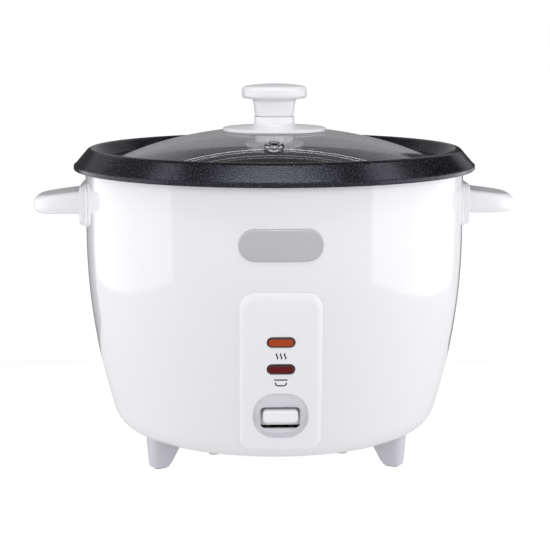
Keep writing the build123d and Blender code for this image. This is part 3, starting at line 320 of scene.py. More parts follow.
# Shapes of the shell's side

def side_radius(z, proud=0.0):
    """Radius of the shell's side at a height, or of a surface that stands proud of it."""
    fall = max(0.0, straight_bottom - z)
    return curve_centre + math.sqrt((curve_radius + proud) ** 2 - fall**2)


def on_panel(x, z, depth):
    """Point on the panel's face, which is flat across and curved up and down, moved into it by a depth."""
    lean = math.asin(max(0.0, straight_bottom - z) / curve_radius)
    face_y = -side_radius(z, panel_proud)
    return Vector((x, face_y + depth * math.cos(lean), z + depth * math.sin(lean)))


def on_shell(x, z, proud):
    """Point in front of the shell at a place across and up, standing proud of it."""
    return Vector((x, -math.sqrt(side_radius(z, proud) ** 2 - x**2), z))


# Outlines

def arc(middle, radius, start, end, steps=CORNER_STEPS):
    """Points on an arc in the plane, from one angle to another in radians."""
    angles = [start + (end - start) * n / steps for n in range(steps + 1)]
    return [Vector((middle[0] + radius * math.cos(a), middle[1] + radius * math.sin(a))) for a in angles]


def round_corner(before, corner, after, radius, steps=CORNER_STEPS):
    """Points that round one corner of a path, or the corner itself where it has no radius."""
    back = (before - corner).normalized()
    ahead = (after - corner).normalized()
    angle = back.angle(ahead)
    if radius <= 0 or angle > STRAIGHT_ANGLE:
        return [corner]
    middle = corner + (back + ahead).normalized() * radius / math.sin(angle / 2)
    reach = radius / math.tan(angle / 2)
    first = corner + back * reach - middle
    last = corner + ahead * reach - middle
    start = math.atan2(first.y, first.x)
    sweep = (math.atan2(last.y, last.x) - start + math.pi) % (2 * math.pi) - math.pi
    return arc(middle, radius, start, start + sweep, steps)


def rounded_path(corners):
    """Open path through corners given as across, up and radius."""
    places = [Vector(corner[:2]) for corner in corners]
    path = [places[0]]
    for before, corner, after, (_, _, radius) in zip(places, places[1:], places[2:], corners[1:]):
        path += round_corner(before, corner, after, radius)
    return path + [places[-1]]


def offset_corners(corners, distance):
    """Corners of a path moved to its right by a distance, with the radii of its bends to match."""
    places = [Vector(corner[:2]) for corner in corners]
    runs = [(b - a).normalized() for a, b in zip(places, places[1:])]
    sides = [Vector((run.y, -run.x)) * distance for run in runs]
    moved = [(*(places[0] + sides[0]), 0)]
    for n in range(1, len(places) - 1):
        turn = runs[n - 1].cross(runs[n])
        mean = (sides[n - 1] + sides[n]).normalized()
        reach = distance / mean.dot(sides[n] / distance)
        radius = max(corners[n][2] + math.copysign(distance, turn), least_bend)
        moved.append((*(places[n] + mean * reach), radius))
    return moved + [(*(places[-1] + sides[-1]), 0)]


def box_loop(width, height, corner, grow=0.0, middle=(0.0, 0.0)):
    """Closed loop of a rounded rectangle, grown by an offset, with points along its sides."""
    half_x = width / 2 + grow
    half_y = height / 2 + grow
    corners = corner if isinstance(corner, tuple) else (corner,) * 4
    loop = []
    for quarter, (sign_x, sign_y) in enumerate(((1, 1), (-1, 1), (-1, -1), (1, -1))):
        radius = max(min(corners[quarter] + grow, half_x, half_y), LEAST_CORNER)
        centre = (middle[0] + sign_x * (half_x - radius), middle[1] + sign_y * (half_y - radius))
        start = quarter * math.pi / 2
        loop += arc(centre, radius, start, start + math.pi / 2)
    filled = []
    for n, point in enumerate(loop):
        filled.append(point)
        if n % (CORNER_STEPS + 1) == CORNER_STEPS:
            end = loop[(n + 1) % len(loop)]
            filled += [point.lerp(end, k / EDGE_STEPS) for k in range(1, EDGE_STEPS)]
    return filled


# Meshes

def piece_from(name, form):
    """New object from a mesh form, with its normals made to point out."""
    bmesh.ops.recalc_face_normals(form, faces=form.faces)
    mesh = bpy.data.meshes.new(name)
    form.to_mesh(mesh)
    form.free()
    piece = bpy.data.objects.new(name, mesh)
    bpy.context.scene.collection.objects.link(piece)
    return piece


def lathe(name, outline, steps=TURN_STEPS):
    """Closed mesh from a closed outline of radius and height that is turned about Z."""
    form = bmesh.new()
    rings = []
    for point in outline:
        count = 1 if point.x < SAME_PLACE else steps
        angles = [2 * math.pi * n / steps for n in range(count)]
        places = [(point.x * math.cos(a), point.x * math.sin(a), point.y) for a in angles]
        rings.append([form.verts.new(place) for place in places])
    for low, high in zip(rings, rings[1:] + rings[:1]):
        if len(low) == 1 and len(high) == 1:
            continue
        for n in range(steps):
            m = (n + 1) % steps
            corners = [low[n % len(low)], low[m % len(low)], high[m % len(high)], high[n % len(high)]]
            form.faces.new(list(dict.fromkeys(corners)))
    return piece_from(name, form)


def add_stack(form, rings, start_cap=True, end_cap=True):
    """Rings of equal length joined in order, with a flat face on each end that is to be closed."""
    made = [[form.verts.new(point) for point in ring] for ring in rings]
    count = len(made[0])
    for low, high in zip(made, made[1:]):
        for n in range(count):
            m = (n + 1) % count
            form.faces.new((low[n], low[m], high[m], high[n]))
    if start_cap:
        form.faces.new(made[0])
    if end_cap:
        form.faces.new(made[-1])


def stack(name, rings):
    """Closed piece from rings joined in order and capped at both ends."""
    form = bmesh.new()
    add_stack(form, rings)
    return piece_from(name, form)


def inside(point, loop):
    """Whether a point lies inside a closed loop."""
    crossings = 0
    for a, b in zip(loop, loop[1:] + loop[:1]):
        if (a.y > point.y) != (b.y > point.y):
            crossings += point.x < a.x + (point.y - a.y) * (b.x - a.x) / (b.y - a.y)
    return crossings % 2 == 1


def clear_of(point, loop, gap):
    """Whether a point keeps a gap from every point of a loop."""
    return all((point - other).length > gap for other in loop)


def add_sheet(form, loops, place):
    """Triangles inside the first loop and outside the others, each point put in space by a function."""
    outer = loops[0]
    low = Vector((min(p.x for p in outer), min(p.y for p in outer)))
    high = Vector((max(p.x for p in outer), max(p.y for p in outer)))
    columns = int((high.x - low.x) / SHEET_STEP)
    rows = int((high.y - low.y) / SHEET_STEP)
    points = [p for loop in loops for p in loop]
    edges = []
    start = 0
    for loop in loops:
        edges += [(start + n, start + (n + 1) % len(loop)) for n in range(len(loop))]
        start += len(loop)

    def within(point):
        return inside(point, outer) and not any(inside(point, hole) for hole in loops[1:])

    for i in range(1, columns):
        for j in range(1, rows):
            point = low + Vector((i, j)) * SHEET_STEP
            if within(point) and all(clear_of(point, loop, SHEET_CLEARANCE) for loop in loops):
                points.append(point)
    flat, _, faces, _, _, _ = delaunay_2d_cdt(points, edges, [], 1, SAME_TRIANGLE)
    made = [form.verts.new(place(p.x, p.y)) for p in flat]
    for face in faces:
        if within(sum((flat[n] for n in face), Vector((0, 0))) / len(face)):
            form.faces.new([made[n] for n in face])


def merged(form):
    """Joins the points that coincide."""
    bmesh.ops.remove_doubles(form, verts=form.verts, dist=SAME_PLACE)
    return form


def cut(piece, cutter):
    """Cuts one piece out of another and removes the cutter."""
    modifier = piece.modifiers.new("cut", "BOOLEAN")
    modifier.operation = "DIFFERENCE"
    modifier.solver = "EXACT"
    modifier.object = cutter
    graph = bpy.context.evaluated_depsgraph_get()
    mesh = bpy.data.meshes.new_from_object(piece.evaluated_get(graph))
    piece.modifiers.clear()
    piece.data = mesh
    bpy.data.objects.remove(cutter)


def smooth(mesh):
    """Smooth shading with sharp edges kept."""
    mesh.shade_smooth()
    mesh.set_sharp_from_angle(angle=SHARP_ANGLE)


def dress(piece, body, slot, *nodes):
    """Gives a piece its shading, its material and the body it rides on, and hides the nodes it stands for."""
    smooth(piece.data)
    normals = piece.modifiers.new("normals", "WEIGHTED_NORMAL")
    normals.keep_sharp = True
    piece.data.materials.clear()
    piece.data.materials.append(looks[slot])
    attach(piece, body)
    if nodes:
        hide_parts(*nodes)
    return piece


# Materials

GRAIN_DEPTH = 0.1 * MM
COATING_DEPTH = 0.13 * MM
GLASS_WAVE_DEPTH = 0.2 * MM


def node(tree, kind, inputs=None, **settings):
    """New shader node with its settings and unlinked inputs."""
    made = tree.nodes.new(kind)
    for name, value in settings.items():
        setattr(made, name, value)
    for name, value in (inputs or {}).items():
        made.inputs[name].default_value = value
    return made


def new_look(name, colour, roughness, metallic=0.0, **sockets):
    """New material: its node tree, its shader and the object coordinates that its patterns use."""
    look = bpy.data.materials.new(name)
    look.use_nodes = True
    tree = look.node_tree
    shader = tree.nodes["Principled BSDF"]
    shader.inputs["Base Color"].default_value = (*colour, 1)
    shader.inputs["Roughness"].default_value = roughness
    shader.inputs["Metallic"].default_value = metallic
    for socket, value in sockets.items():
        shader.inputs[socket.replace("_", " ")].default_value = value
    place = node(tree, "ShaderNodeTexCoord").outputs["Object"]
    return look, tree, shader, place


def noise(tree, place, scale, detail=2.0, stretch=None):
    """Noise pattern, by its scale per metre, stretched along the axes where asked."""
    if stretch:
        mapping = node(tree, "ShaderNodeMapping", {"Scale": stretch})
        tree.links.new(place, mapping.inputs["Vector"])
        place = mapping.outputs["Vector"]
    pattern = node(tree, "ShaderNodeTexNoise", {"Scale": scale, "Detail": detail})
    tree.links.new(place, pattern.inputs["Vector"])
    return pattern.outputs["Fac"]


def spread(tree, value, low, high, start=0.3, end=0.7):
    """Pattern value mapped from a range of its own to a range of results."""
    ranged = node(
        tree, "ShaderNodeMapRange",
        {"From Min": start, "From Max": end, "To Min": low, "To Max": high},
    )
    tree.links.new(value, ranged.inputs["Value"])
    return ranged.outputs["Result"]


def two_tone(tree, factor, first, second):
    """Colour that goes from one tone to another with a factor."""
    mix = node(tree, "ShaderNodeMix", data_type="RGBA")
    tree.links.new(factor, mix.inputs["Factor"])
    tones = [socket for socket in mix.inputs if socket.type == "RGBA"]
    for socket, tone in zip(tones, (first, second)):
        socket.default_value = (*tone, 1)
    return next(socket for socket in mix.outputs if socket.type == "RGBA")


def relief(tree, shader, height, strength, distance):
    """Fine relief on a surface from a pattern."""
    bump = node(tree, "ShaderNodeBump", {"Strength": strength, "Distance": distance})
    tree.links.new(height, bump.inputs["Height"])
    tree.links.new(bump.outputs["Normal"], shader.inputs["Normal"])


def scaled(colour, factor):
    """Colour made lighter or darker."""
    return tuple(min(1.0, channel * factor) for channel in colour)


def plain_look(
    name, colour, roughness, metallic=0.0, tone=0.03, grain=0.05, grain_scale=1500, stretch=None, **sockets
):
    """Material with slight clouds of tone, uneven gloss and a fine grain."""
    look, tree, shader, place = new_look(name, colour, roughness, metallic, **sockets)
    clouds = noise(tree, place, 45, 3)
    tones = two_tone(tree, clouds, scaled(colour, 1 - tone), scaled(colour, 1 + tone))
    tree.links.new(tones, shader.inputs["Base Color"])
    fine = noise(tree, place, grain_scale, 3, stretch)
    gloss = spread(tree, fine, roughness * 0.85, roughness * 1.15)
    tree.links.new(gloss, shader.inputs["Roughness"])
    relief(tree, shader, fine, grain, GRAIN_DEPTH)
    return look


def coating_look():
    """Dark non-stick coating with a fine pale grain."""
    colour = (0.006, 0.006, 0.008)
    tint = (0.82, 0.85, 1, 1)
    look, tree, shader, place = new_look("pot_coating", colour, 0.2, IOR=1.4, Specular_Tint=tint)
    grain = spread(tree, noise(tree, place, 1300, 2), 0, 1, 0.5, 0.7)
    tones = two_tone(tree, grain, colour, (0.048, 0.048, 0.058))
    tree.links.new(tones, shader.inputs["Base Color"])
    fine = noise(tree, place, 1600, 3)
    tree.links.new(spread(tree, fine, 0.13, 0.23), shader.inputs["Roughness"])
    relief(tree, shader, noise(tree, place, 900, 3), 0.38, COATING_DEPTH)
    return look


def glass_look(name, colour, roughness):
    """Clear glass with a trace of unevenness."""
    look, tree, shader, place = new_look(name, colour, roughness, IOR=1.5, Transmission_Weight=1.0)
    waves = noise(tree, place, 18, 1)
    relief(tree, shader, waves, 0.02, GLASS_WAVE_DEPTH)
    return look


def turned_look(name, colour, roughness):
    """Metal with fine rings about the axis, as left by spinning or turning."""
    look, tree, shader, place = new_look(name, colour, roughness, 1.0)
    parts = node(tree, "ShaderNodeSeparateXYZ")
    tree.links.new(place, parts.inputs["Vector"])
    flat = node(tree, "ShaderNodeCombineXYZ")
    tree.links.new(parts.outputs["X"], flat.inputs["X"])
    tree.links.new(parts.outputs["Y"], flat.inputs["Y"])
    length = node(tree, "ShaderNodeVectorMath", operation="LENGTH")
    tree.links.new(flat.outputs["Vector"], length.inputs[0])
    rings = node(tree, "ShaderNodeCombineXYZ")
    tree.links.new(length.outputs["Value"], rings.inputs["X"])
    tree.links.new(parts.outputs["Z"], rings.inputs["Z"])
    lines = noise(tree, rings.outputs["Vector"], 1400, 2)
    tree.links.new(spread(tree, lines, roughness * 0.7, roughness * 1.3), shader.inputs["Roughness"])
    clouds = noise(tree, place, 60, 3)
    tones = two_tone(tree, clouds, scaled(colour, 0.93), scaled(colour, 1.05))
    tree.links.new(tones, shader.inputs["Base Color"])
    relief(tree, shader, lines, 0.15, GRAIN_DEPTH)
    return look


looks = {
    "white_enamel": plain_look(
        "white_enamel", (0.845, 0.845, 0.865), 0.08, tone=0.006, grain=0.01, grain_scale=260, Coat_Weight=0.3,
        Coat_Roughness=0.04,
    ),
    "white_plastic": plain_look("white_plastic", (0.88, 0.88, 0.895), 0.24, tone=0.008, grain=0.03),
    "pot_coating": coating_look(),
    "lid_glass": glass_look("lid_glass", (0.93, 0.94, 0.95), 0.01),
    "chrome": plain_look("chrome", (0.32, 0.32, 0.34), 0.08, 1.0, tone=0.02, grain=0.02, grain_scale=900),
    "sheet_steel": plain_look(
        "sheet_steel", (0.52, 0.52, 0.53), 0.34, 1.0, tone=0.08, grain=0.12, grain_scale=700,
        stretch=(1, 8, 8),
    ),
    "screw_steel": plain_look("screw_steel", (0.58, 0.58, 0.57), 0.3, 1.0, tone=0.06, grain=0.1),
    "spring_steel": plain_look("spring_steel", (0.46, 0.46, 0.48), 0.28, 1.0, tone=0.06, grain=0.1),
    "aluminium_sheet": turned_look("aluminium_sheet", (0.70, 0.70, 0.71), 0.3),
    "cast_aluminium": turned_look("cast_aluminium", (0.60, 0.60, 0.60), 0.4),
    "amber_lens": plain_look(
        "amber_lens", (0.42, 0.055, 0.01), 0.2, tone=0.15, grain=0.08, grain_scale=900, Specular_IOR_Level=0.2
    ),
    "red_lens": plain_look(
        "red_lens", (0.125, 0.004, 0.007), 0.2, tone=0.15, grain=0.08, grain_scale=900, Specular_IOR_Level=0.2
    ),
    "lamp_glass": glass_look("lamp_glass", (0.9, 0.86, 0.8), 0.02),
    "badge_grey": plain_look(
        "badge_grey", (0.54, 0.54, 0.555), 0.36, 0.85, tone=0.03, grain=0.08, grain_scale=900,
        stretch=(0.06, 1, 1),
    ),
    "foot_rubber": plain_look(
        "foot_rubber", (0.035, 0.035, 0.035), 0.75, tone=0.15, grain=0.25, grain_scale=900
    ),
    "silicone": plain_look("silicone", (0.68, 0.68, 0.66), 0.55, tone=0.05, grain=0.12),
    "black_plastic": plain_look("black_plastic", (0.02, 0.02, 0.021), 0.45, tone=0.2, grain=0.2),
    "ceramic": plain_look("ceramic", (0.78, 0.75, 0.69), 0.6, tone=0.06, grain=0.2, grain_scale=1200),
    "ferrite": plain_look("ferrite", (0.05, 0.05, 0.055), 0.55, 0.4, tone=0.2, grain=0.3, grain_scale=1100),
    "brass": plain_look("brass", (0.62, 0.44, 0.17), 0.28, 1.0, tone=0.07, grain=0.08, stretch=(1, 0.1, 1)),
    "mica": plain_look("mica", (0.46, 0.38, 0.26), 0.5, tone=0.2, grain=0.2, grain_scale=500),
    "wire_sheath": plain_look("wire_sheath", (0.5, 0.5, 0.48), 0.6, tone=0.08, grain=0.2),
}
# Greyer plastic for the dish and slot: painted shade of the recess
dish_shade_look = plain_look("dish_painted_shade", (0.76, 0.76, 0.785), 0.28, tone=0.008, grain=0.03)
# Grey for the feet in place of white plastic: painted shade under the body
foot_shade_look = plain_look("foot_painted_shade", (0.6, 0.6, 0.635), 0.34, tone=0.02, grain=0.05)
# Dark materials for the lamp windows' sides and edges: painted shade at the lens border
lens_edge_shade_looks = {
    "amber_lens": plain_look("amber_lens_edge_shade", (0.05, 0.011, 0.006), 0.3, tone=0.1, grain=0.05),
    "red_lens": plain_look("red_lens_edge_shade", (0.018, 0.004, 0.005), 0.3, tone=0.1, grain=0.05),
}


# Shell

def side_profile(inset):
    """Points of the shell's side from its flat bottom up to its top lip, drawn in by an inset."""
    lean = math.atan2(corner_z - straight_bottom, flat_radius - curve_centre)
    points = arc((flat_radius, corner_z), shell_corner - inset, -math.pi / 2, lean, BEND_STEPS)
    points += arc((curve_centre, straight_bottom), curve_radius - inset, lean, 0, CURVE_STEPS)[1:]
    lip_z = shell_top - shell_lip_radius
    bottom = points[-1]
    top = Vector((bottom.x, lip_z))
    points += [bottom.lerp(top, n / STRAIGHT_STEPS) for n in range(1, STRAIGHT_STEPS)]
    return points + arc((shell_radius - shell_lip_radius, lip_z), shell_lip_radius - inset, 0, math.pi / 2)


def make_shell():
    """Drawn shell with its lip, flange and the openings behind the panel and the inlet."""
    outline = [Vector((shell_flange_radius, shell_bottom))] + side_profile(0)
    outline += [Vector((shell_hole_radius, shell_top)), Vector((shell_hole_radius, shell_top - shell_wall))]
    outline += side_profile(shell_wall)[::-1] + [Vector((shell_flange_radius, shell_bottom + shell_wall))]
    shell = lathe("shell", outline)
    opening = box_loop(front_hole_width, front_hole_height, front_hole_corner, 0, (0, front_hole_z))
    rings = [[Vector((p.x, y, p.y)) for p in opening] for y in (-cutter_far, -cutter_near)]
    cut(shell, stack("front_cutter", rings))
    inlet_z = sum(corner.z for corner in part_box("power_inlet")) / 2
    opening = box_loop(inlet_hole_width, inlet_hole_height, inlet_hole_corner, 0, (0, inlet_z))
    rings = [[Vector((p.x, y, p.y)) for p in opening] for y in (cutter_near, cutter_far)]
    cut(shell, stack("back_cutter", rings))
    return dress(shell, "housing", "white_enamel", "outer_shell")


# Pot and lid

def make_pot():
    """Pot with its lid ledge, crest and turned-down skirt that ends in a lip."""
    corners = [
        (0, pot_floor, 0),
        (pot_radius, pot_floor, pot_corner),
        (pot_radius, ledge_z, ledge_bend),
        (ledge_radius, ledge_z, ledge_root_bend),
        (ledge_radius, rim_bend_z, rim_bend),
        (rim_apex_radius, rim_apex_z, crest_round),
        (skirt_radius - lip_proud, lip_top, 0),
    ]
    top = rounded_path(corners)
    under = rounded_path(offset_corners(corners, pot_wall))
    lip_in = skirt_radius - lip_thickness
    lip = rounded_path([
        (skirt_radius - lip_proud, lip_top, 0),
        (skirt_radius, lip_top, lip_top_round),
        (skirt_radius, lip_bottom, lip_low_round),
        (lip_in, lip_bottom, lip_inner_round),
        (lip_in, lip_top - lip_fold, 0),
    ])
    pot = lathe("pot", top + lip[1:] + under[-2::-1])
    return dress(pot, "pot", "pot_coating", "inner_pot", "pot_corner", "pot_floor")


def dome_points(radius, near, far, steps):
    """Points on the lid's dome between two distances from the axis."""
    reaches = [near + (far - near) * n / steps for n in range(steps + 1)]
    return [Vector((r, dome_centre + math.sqrt(radius**2 - r**2))) for r in reaches]


eyelet_middle = Vector((
    eyelet_circle * math.cos(eyelet_angle),
    eyelet_circle * math.sin(eyelet_angle),
    dome_centre + math.sqrt(dome_radius**2 - eyelet_circle**2),
))
eyelet_turn = (eyelet_middle - Vector((0, 0, dome_centre))).to_track_quat("Z", "Y").to_matrix().to_4x4()
eyelet_place = Matrix.Translation(eyelet_middle) @ eyelet_turn


def make_glass():
    """Domed glass with a rounded rim, a knob hole and a vent hole."""
    inner = dome_radius - glass_thickness
    seat_radius = math.sqrt(inner**2 - (ledge_z - dome_centre) ** 2)
    outside = dome_points(dome_radius, knob_hole_radius, glass_radius - glass_rim_width, DOME_STEPS)
    rim_z = dome_centre + math.sqrt(dome_radius**2 - glass_radius**2)
    rim = rounded_path([
        (*outside[-1], 0),
        (glass_radius, rim_z, glass_rim_round),
        (glass_radius, ledge_z, glass_seat_round),
        (seat_radius, ledge_z, 0),
    ])
    underneath = dome_points(inner, seat_radius - glass_seat_round, knob_hole_radius, DOME_STEPS)
    glass = lathe("glass", outside + rim[1:] + underneath)
    side = [(0, -drill_reach), (eyelet_shank, -drill_reach), (eyelet_shank, drill_reach), (0, drill_reach)]
    drill = lathe("drill", [Vector(point) for point in side], DRILL_STEPS)
    drill.data.transform(eyelet_place)
    cut(glass, drill)
    return dress(glass, "lid", "lid_glass", "lid_glass")


def make_eyelet():
    """Metal vent rolled over both faces of the glass."""
    shank = eyelet_shank - eyelet_play
    back = -glass_thickness - eyelet_play
    corners = [
        (eyelet_bore, -eyelet_tail, 0),
        (eyelet_bore, eyelet_head_height, eyelet_mouth_round),
        (eyelet_head_radius, eyelet_head_height, eyelet_head_round),
        (eyelet_head_radius, -eyelet_play, 0),
        (shank, -eyelet_play, 0),
        (shank, back, 0),
        (eyelet_tail_radius, back, eyelet_tail_round),
        (eyelet_tail_radius, -eyelet_tail, eyelet_tail_round),
        (eyelet_bore, -eyelet_tail, 0),
    ]
    eyelet = lathe("eyelet", rounded_path(corners)[:-1], SMALL_TURN_STEPS)
    eyelet.data.transform(eyelet_place)
    return dress(eyelet, "lid", "chrome", "vent_eyelet")


def make_knob():
    """Saucer with the lower stem, and the finger cap with the upper stem."""
    seat = dome_points(dome_radius, screw_hole_radius, knob_base_radius, SAUCER_STEPS)
    sides = rounded_path([
        (*seat[-1], 0),
        (knob_base_radius, knob_edge_z, saucer_edge_round),
        (knob_stem_radius, knob_root_z, stem_root_round),
        (knob_stem_radius, seam_z, stem_top_round),
        (screw_hole_radius, seam_z, 0),
    ])
    base = lathe("knob_saucer", seat + sides[1:])
    dress(base, "lid", "white_plastic", "knob_base")
    crown_radius = (cap_radius**2 + cap_crown**2) / (2 * cap_crown)
    crown_centre = cap_edge_z + cap_crown - crown_radius
    reaches = [crown_reach * n / crown_rings for n in range(crown_rings, 0, -1)]
    crown = [(r, crown_centre + math.sqrt(crown_radius**2 - r**2), 0) for r in reaches]
    cap = rounded_path([
        (0, seam_z, 0),
        (knob_neck_radius - seam_depth, seam_z, 0),
        (knob_neck_radius - seam_depth, seam_z + seam_gap, 0),
        (knob_neck_radius, seam_z + seam_gap, neck_round),
        (knob_throat_radius, throat_z, throat_round),
        (cap_radius, cap_under_z, cap_under_round),
        (cap_radius, cap_edge_z, cap_edge_round),
        *crown,
        (0, cap_edge_z + cap_crown, 0),
    ])
    top = lathe("knob_top", cap)
    return dress(top, "lid", "white_plastic", "knob_cap")


# Control panel

def panel_loop(grow):
    """Outline of the panel, grown or shrunk."""
    return box_loop(panel_width, panel_height, panel_corner, grow, (0, panel_z))


def dish_loop(grow):
    """Outline of the switch dish, grown or shrunk."""
    return box_loop(dish_width, dish_height, dish_corner, grow, (0, dish_z))


def slot_loop(grow):
    """Outline of the lever's slot, grown or shrunk."""
    return box_loop(slot_width, slot_height, slot_corner, grow, (0, slot_z))


def lens_loop(z, grow):
    """Outline of a lamp window, grown or shrunk."""
    return box_loop(lens_width, lens_height, lens_height / 2, grow, (0, z))


def add_walls(form, loop, steps):
    """Walls that follow a loop through offsets and depths of the panel's face."""
    rings = [[on_panel(p.x, p.y, depth) for p in loop(grow)] for grow, depth in steps]
    add_stack(form, rings, False, False)


def make_panel():
    """Front panel with its soft border, the switch dish, the slot and the lamp windows; the dish and slot
    faces get a greyer material as painted shade.
    """
    form = bmesh.new()
    back_edge = [(-panel_side_wall, panel_side_depth), (-panel_side_wall, panel_back_depth)]
    add_walls(form, panel_loop, border_edge + [(0, panel_side_depth)] + back_edge)
    add_walls(form, dish_loop, dish_edge + dish_bowl)
    add_walls(form, slot_loop, slot_edge + [(0, panel_back_depth)])
    windows = []
    for z in lens_z:
        def window(grow, middle=z):
            return lens_loop(middle, grow + lens_gap)
        windows.append(window)
        add_walls(form, window, window_edge + [(0, panel_back_depth)])
    front = [panel_loop(border_edge[0][0]), dish_loop(dish_edge[0][0])]
    front += [window(window_edge[0][0]) for window in windows]
    add_sheet(form, front, lambda x, z: on_panel(x, z, 0))
    floor = [dish_loop(-dish_inset), slot_loop(slot_flare)]
    add_sheet(form, floor, lambda x, z: on_panel(x, z, dish_depth))
    rear = [panel_loop(-panel_side_wall), slot_loop(0)] + [window(0) for window in windows]
    add_sheet(form, rear, lambda x, z: on_panel(x, z, panel_back_depth))
    panel = dress(piece_from("panel", merged(form)), "housing", "white_plastic", "control_panel")
    panel.data.materials.append(dish_shade_look)
    # Dish and slot faces take the second material, which is painted shade of the recess
    mouth = dish_loop(0)
    for face in panel.data.polygons:
        depth = face.center.y - on_panel(face.center.x, face.center.z, 0).y
        if depth > dish_shade_start and inside(face.center.xz, mouth):
            face.material_index = 1
    return panel


def make_lens(name, z, slot, cad_node):
    """Lamp window: a crowned stadium plug with its sides and outer edge painted darker as shade."""
    steps = lens_plug + lens_crown
    rings = [[on_panel(p.x, p.y, depth) for p in lens_loop(z, grow)] for grow, depth in steps]
    lens = dress(stack(name, rings), "housing", slot, cad_node)
    lens.data.materials.append(lens_edge_shade_looks[slot])
    # Sides and outer edge of the plug take the second material, which is painted shade
    edge_shade_faces = len(lens_plug) * len(rings[0])
    for face in lens.data.polygons[:edge_shade_faces]:
        face.material_index = 1
    return lens


def stroke(form, path, width):
    """Thin printed stroke on the panel's face that follows a path."""
    rings = []
    for before, point, after in zip(path[:1] + path, path, path[1:] + path[-1:]):
        run = (after - before).normalized()
        side = Vector((-run.y, run.x)) * width / 2
        left, right = point + side, point - side
        ring = [(left, -mark_proud), (right, -mark_proud), (right, mark_proud), (left, mark_proud)]
        rings.append([on_panel(p.x, p.y, depth) for p, depth in ring])
    add_stack(form, rings)


def make_marks():
    """Heat waves under the upper lamp, and a lidded pot under the lower one."""
    form = bmesh.new()
    middle = lens_z[0] - mark_drop
    steps = 4 * CORNER_STEPS
    for column in (-1, 0, 1):
        wave = []
        for n in range(steps + 1):
            share = n / steps
            across = column * mark_pitch + mark_swing * math.sin(2 * math.pi * share)
            wave.append(Vector((across, middle + (share - 0.5) * mark_height)))
        stroke(form, wave, mark_width)
    middle = lens_z[1] - mark_drop
    half = mark_pot_width / 2
    top = middle + mark_height / 2
    bottom = middle - mark_height / 2
    mouth = top - 2 * mark_width
    pot = [(-half, mouth, 0), (-half, bottom, half / 2), (half, bottom, half / 2), (half, mouth, 0)]
    stroke(form, rounded_path(pot), mark_width)
    lid = half + mark_width
    stroke(form, [Vector((-lid, top)), Vector((0, top)), Vector((lid, top))], mark_width)
    return dress(piece_from("marks", form), "housing", "black_plastic")


def make_paddle():
    """Thumb piece with soft edges, and the apron that closes the slot behind it."""
    form = bmesh.new()
    front = paddle_low.y
    rings = []
    for grow, depth in paddle_edge:
        loop = box_loop(paddle_width, paddle_height, paddle_corner, grow, (0, paddle_z))
        rings.append([Vector((p.x, front + depth, p.y)) for p in loop])
    add_stack(form, rings)
    apron_size = paddle_high - paddle_low
    apron_z = (paddle_high.z + paddle_low.z) / 2
    apron = box_loop(apron_size.x, apron_size.z, apron_corner, 0, (0, apron_z))
    add_stack(form, [[Vector((p.x, apron_front + y, p.y)) for p in apron] for y in (0, apron_thickness)])
    return dress(piece_from("paddle", form), "lever", "white_plastic", "switch_paddle")


def make_badge():
    """Blank pill-shaped plate that follows the shell, with a soft edge."""
    form = bmesh.new()
    width = badge_high.x - badge_low.x
    height = badge_high.z - badge_low.z
    middle = (0, (badge_high.z + badge_low.z) / 2)

    def loop(grow):
        return box_loop(width, height, height / 2, grow, middle)

    steps = [
        (0, -badge_sink),
        (0, badge_thickness - badge_round),
        (-badge_soften, badge_thickness - badge_soften),
        (-badge_round, badge_thickness),
        (-badge_face_inset, badge_thickness),
    ]
    rings = [[on_shell(p.x, p.y, proud) for p in loop(grow)] for grow, proud in steps]
    add_stack(form, rings, False, False)
    add_sheet(form, [loop(-badge_face_inset)], lambda x, z: on_shell(x, z, badge_thickness))
    add_sheet(form, [loop(0)], lambda x, z: on_shell(x, z, -badge_sink))
    return dress(piece_from("badge", merged(form)), "housing", "badge_grey", "badge_plate")


# Handles

def grip_rings():
    """Rings of the grip from its flat underside to its sloping top, at the right side."""
    root = shell_radius - handle_sink
    length = handle_tip - root
    middle = (root + length / 2, 0)

    def loop(grow):
        return box_loop(length, grip_width, (grip_tip_corner, 0, 0, grip_tip_corner), grow, middle)

    def top_z(x):
        share = (x - shell_radius) / (handle_tip - shell_radius)
        return grip_low + grip_root_height + share * (grip_tip_height - grip_root_height)

    quarter = [n * math.pi / 2 / CORNER_STEPS for n in range(CORNER_STEPS + 1)]
    steps = [(grip_round * (1 - math.sin(turn)), grip_round * (1 - math.cos(turn))) for turn in quarter]
    low = [[Vector((p.x, p.y, grip_low + rise)) for p in loop(-inset)] for inset, rise in steps]
    high = [[Vector((p.x, p.y, top_z(p.x) - fall)) for p in loop(-inset)] for inset, fall in steps]
    return low + high[::-1]


def pad_rings(loop, edge, face_x):
    """Rings of a pad on the shell's right side, from inside the shell to the soft edge of the pad's face."""
    rings = [[Vector((shell_radius - handle_sink, p.x, p.y)) for p in loop(0)]]
    soften = pad_soften * edge
    for inset, below in ((0, edge), (soften, soften), (edge, 0)):
        rings.append([Vector((face_x(p.x) - below, p.x, p.y)) for p in loop(-inset)])
    return rings


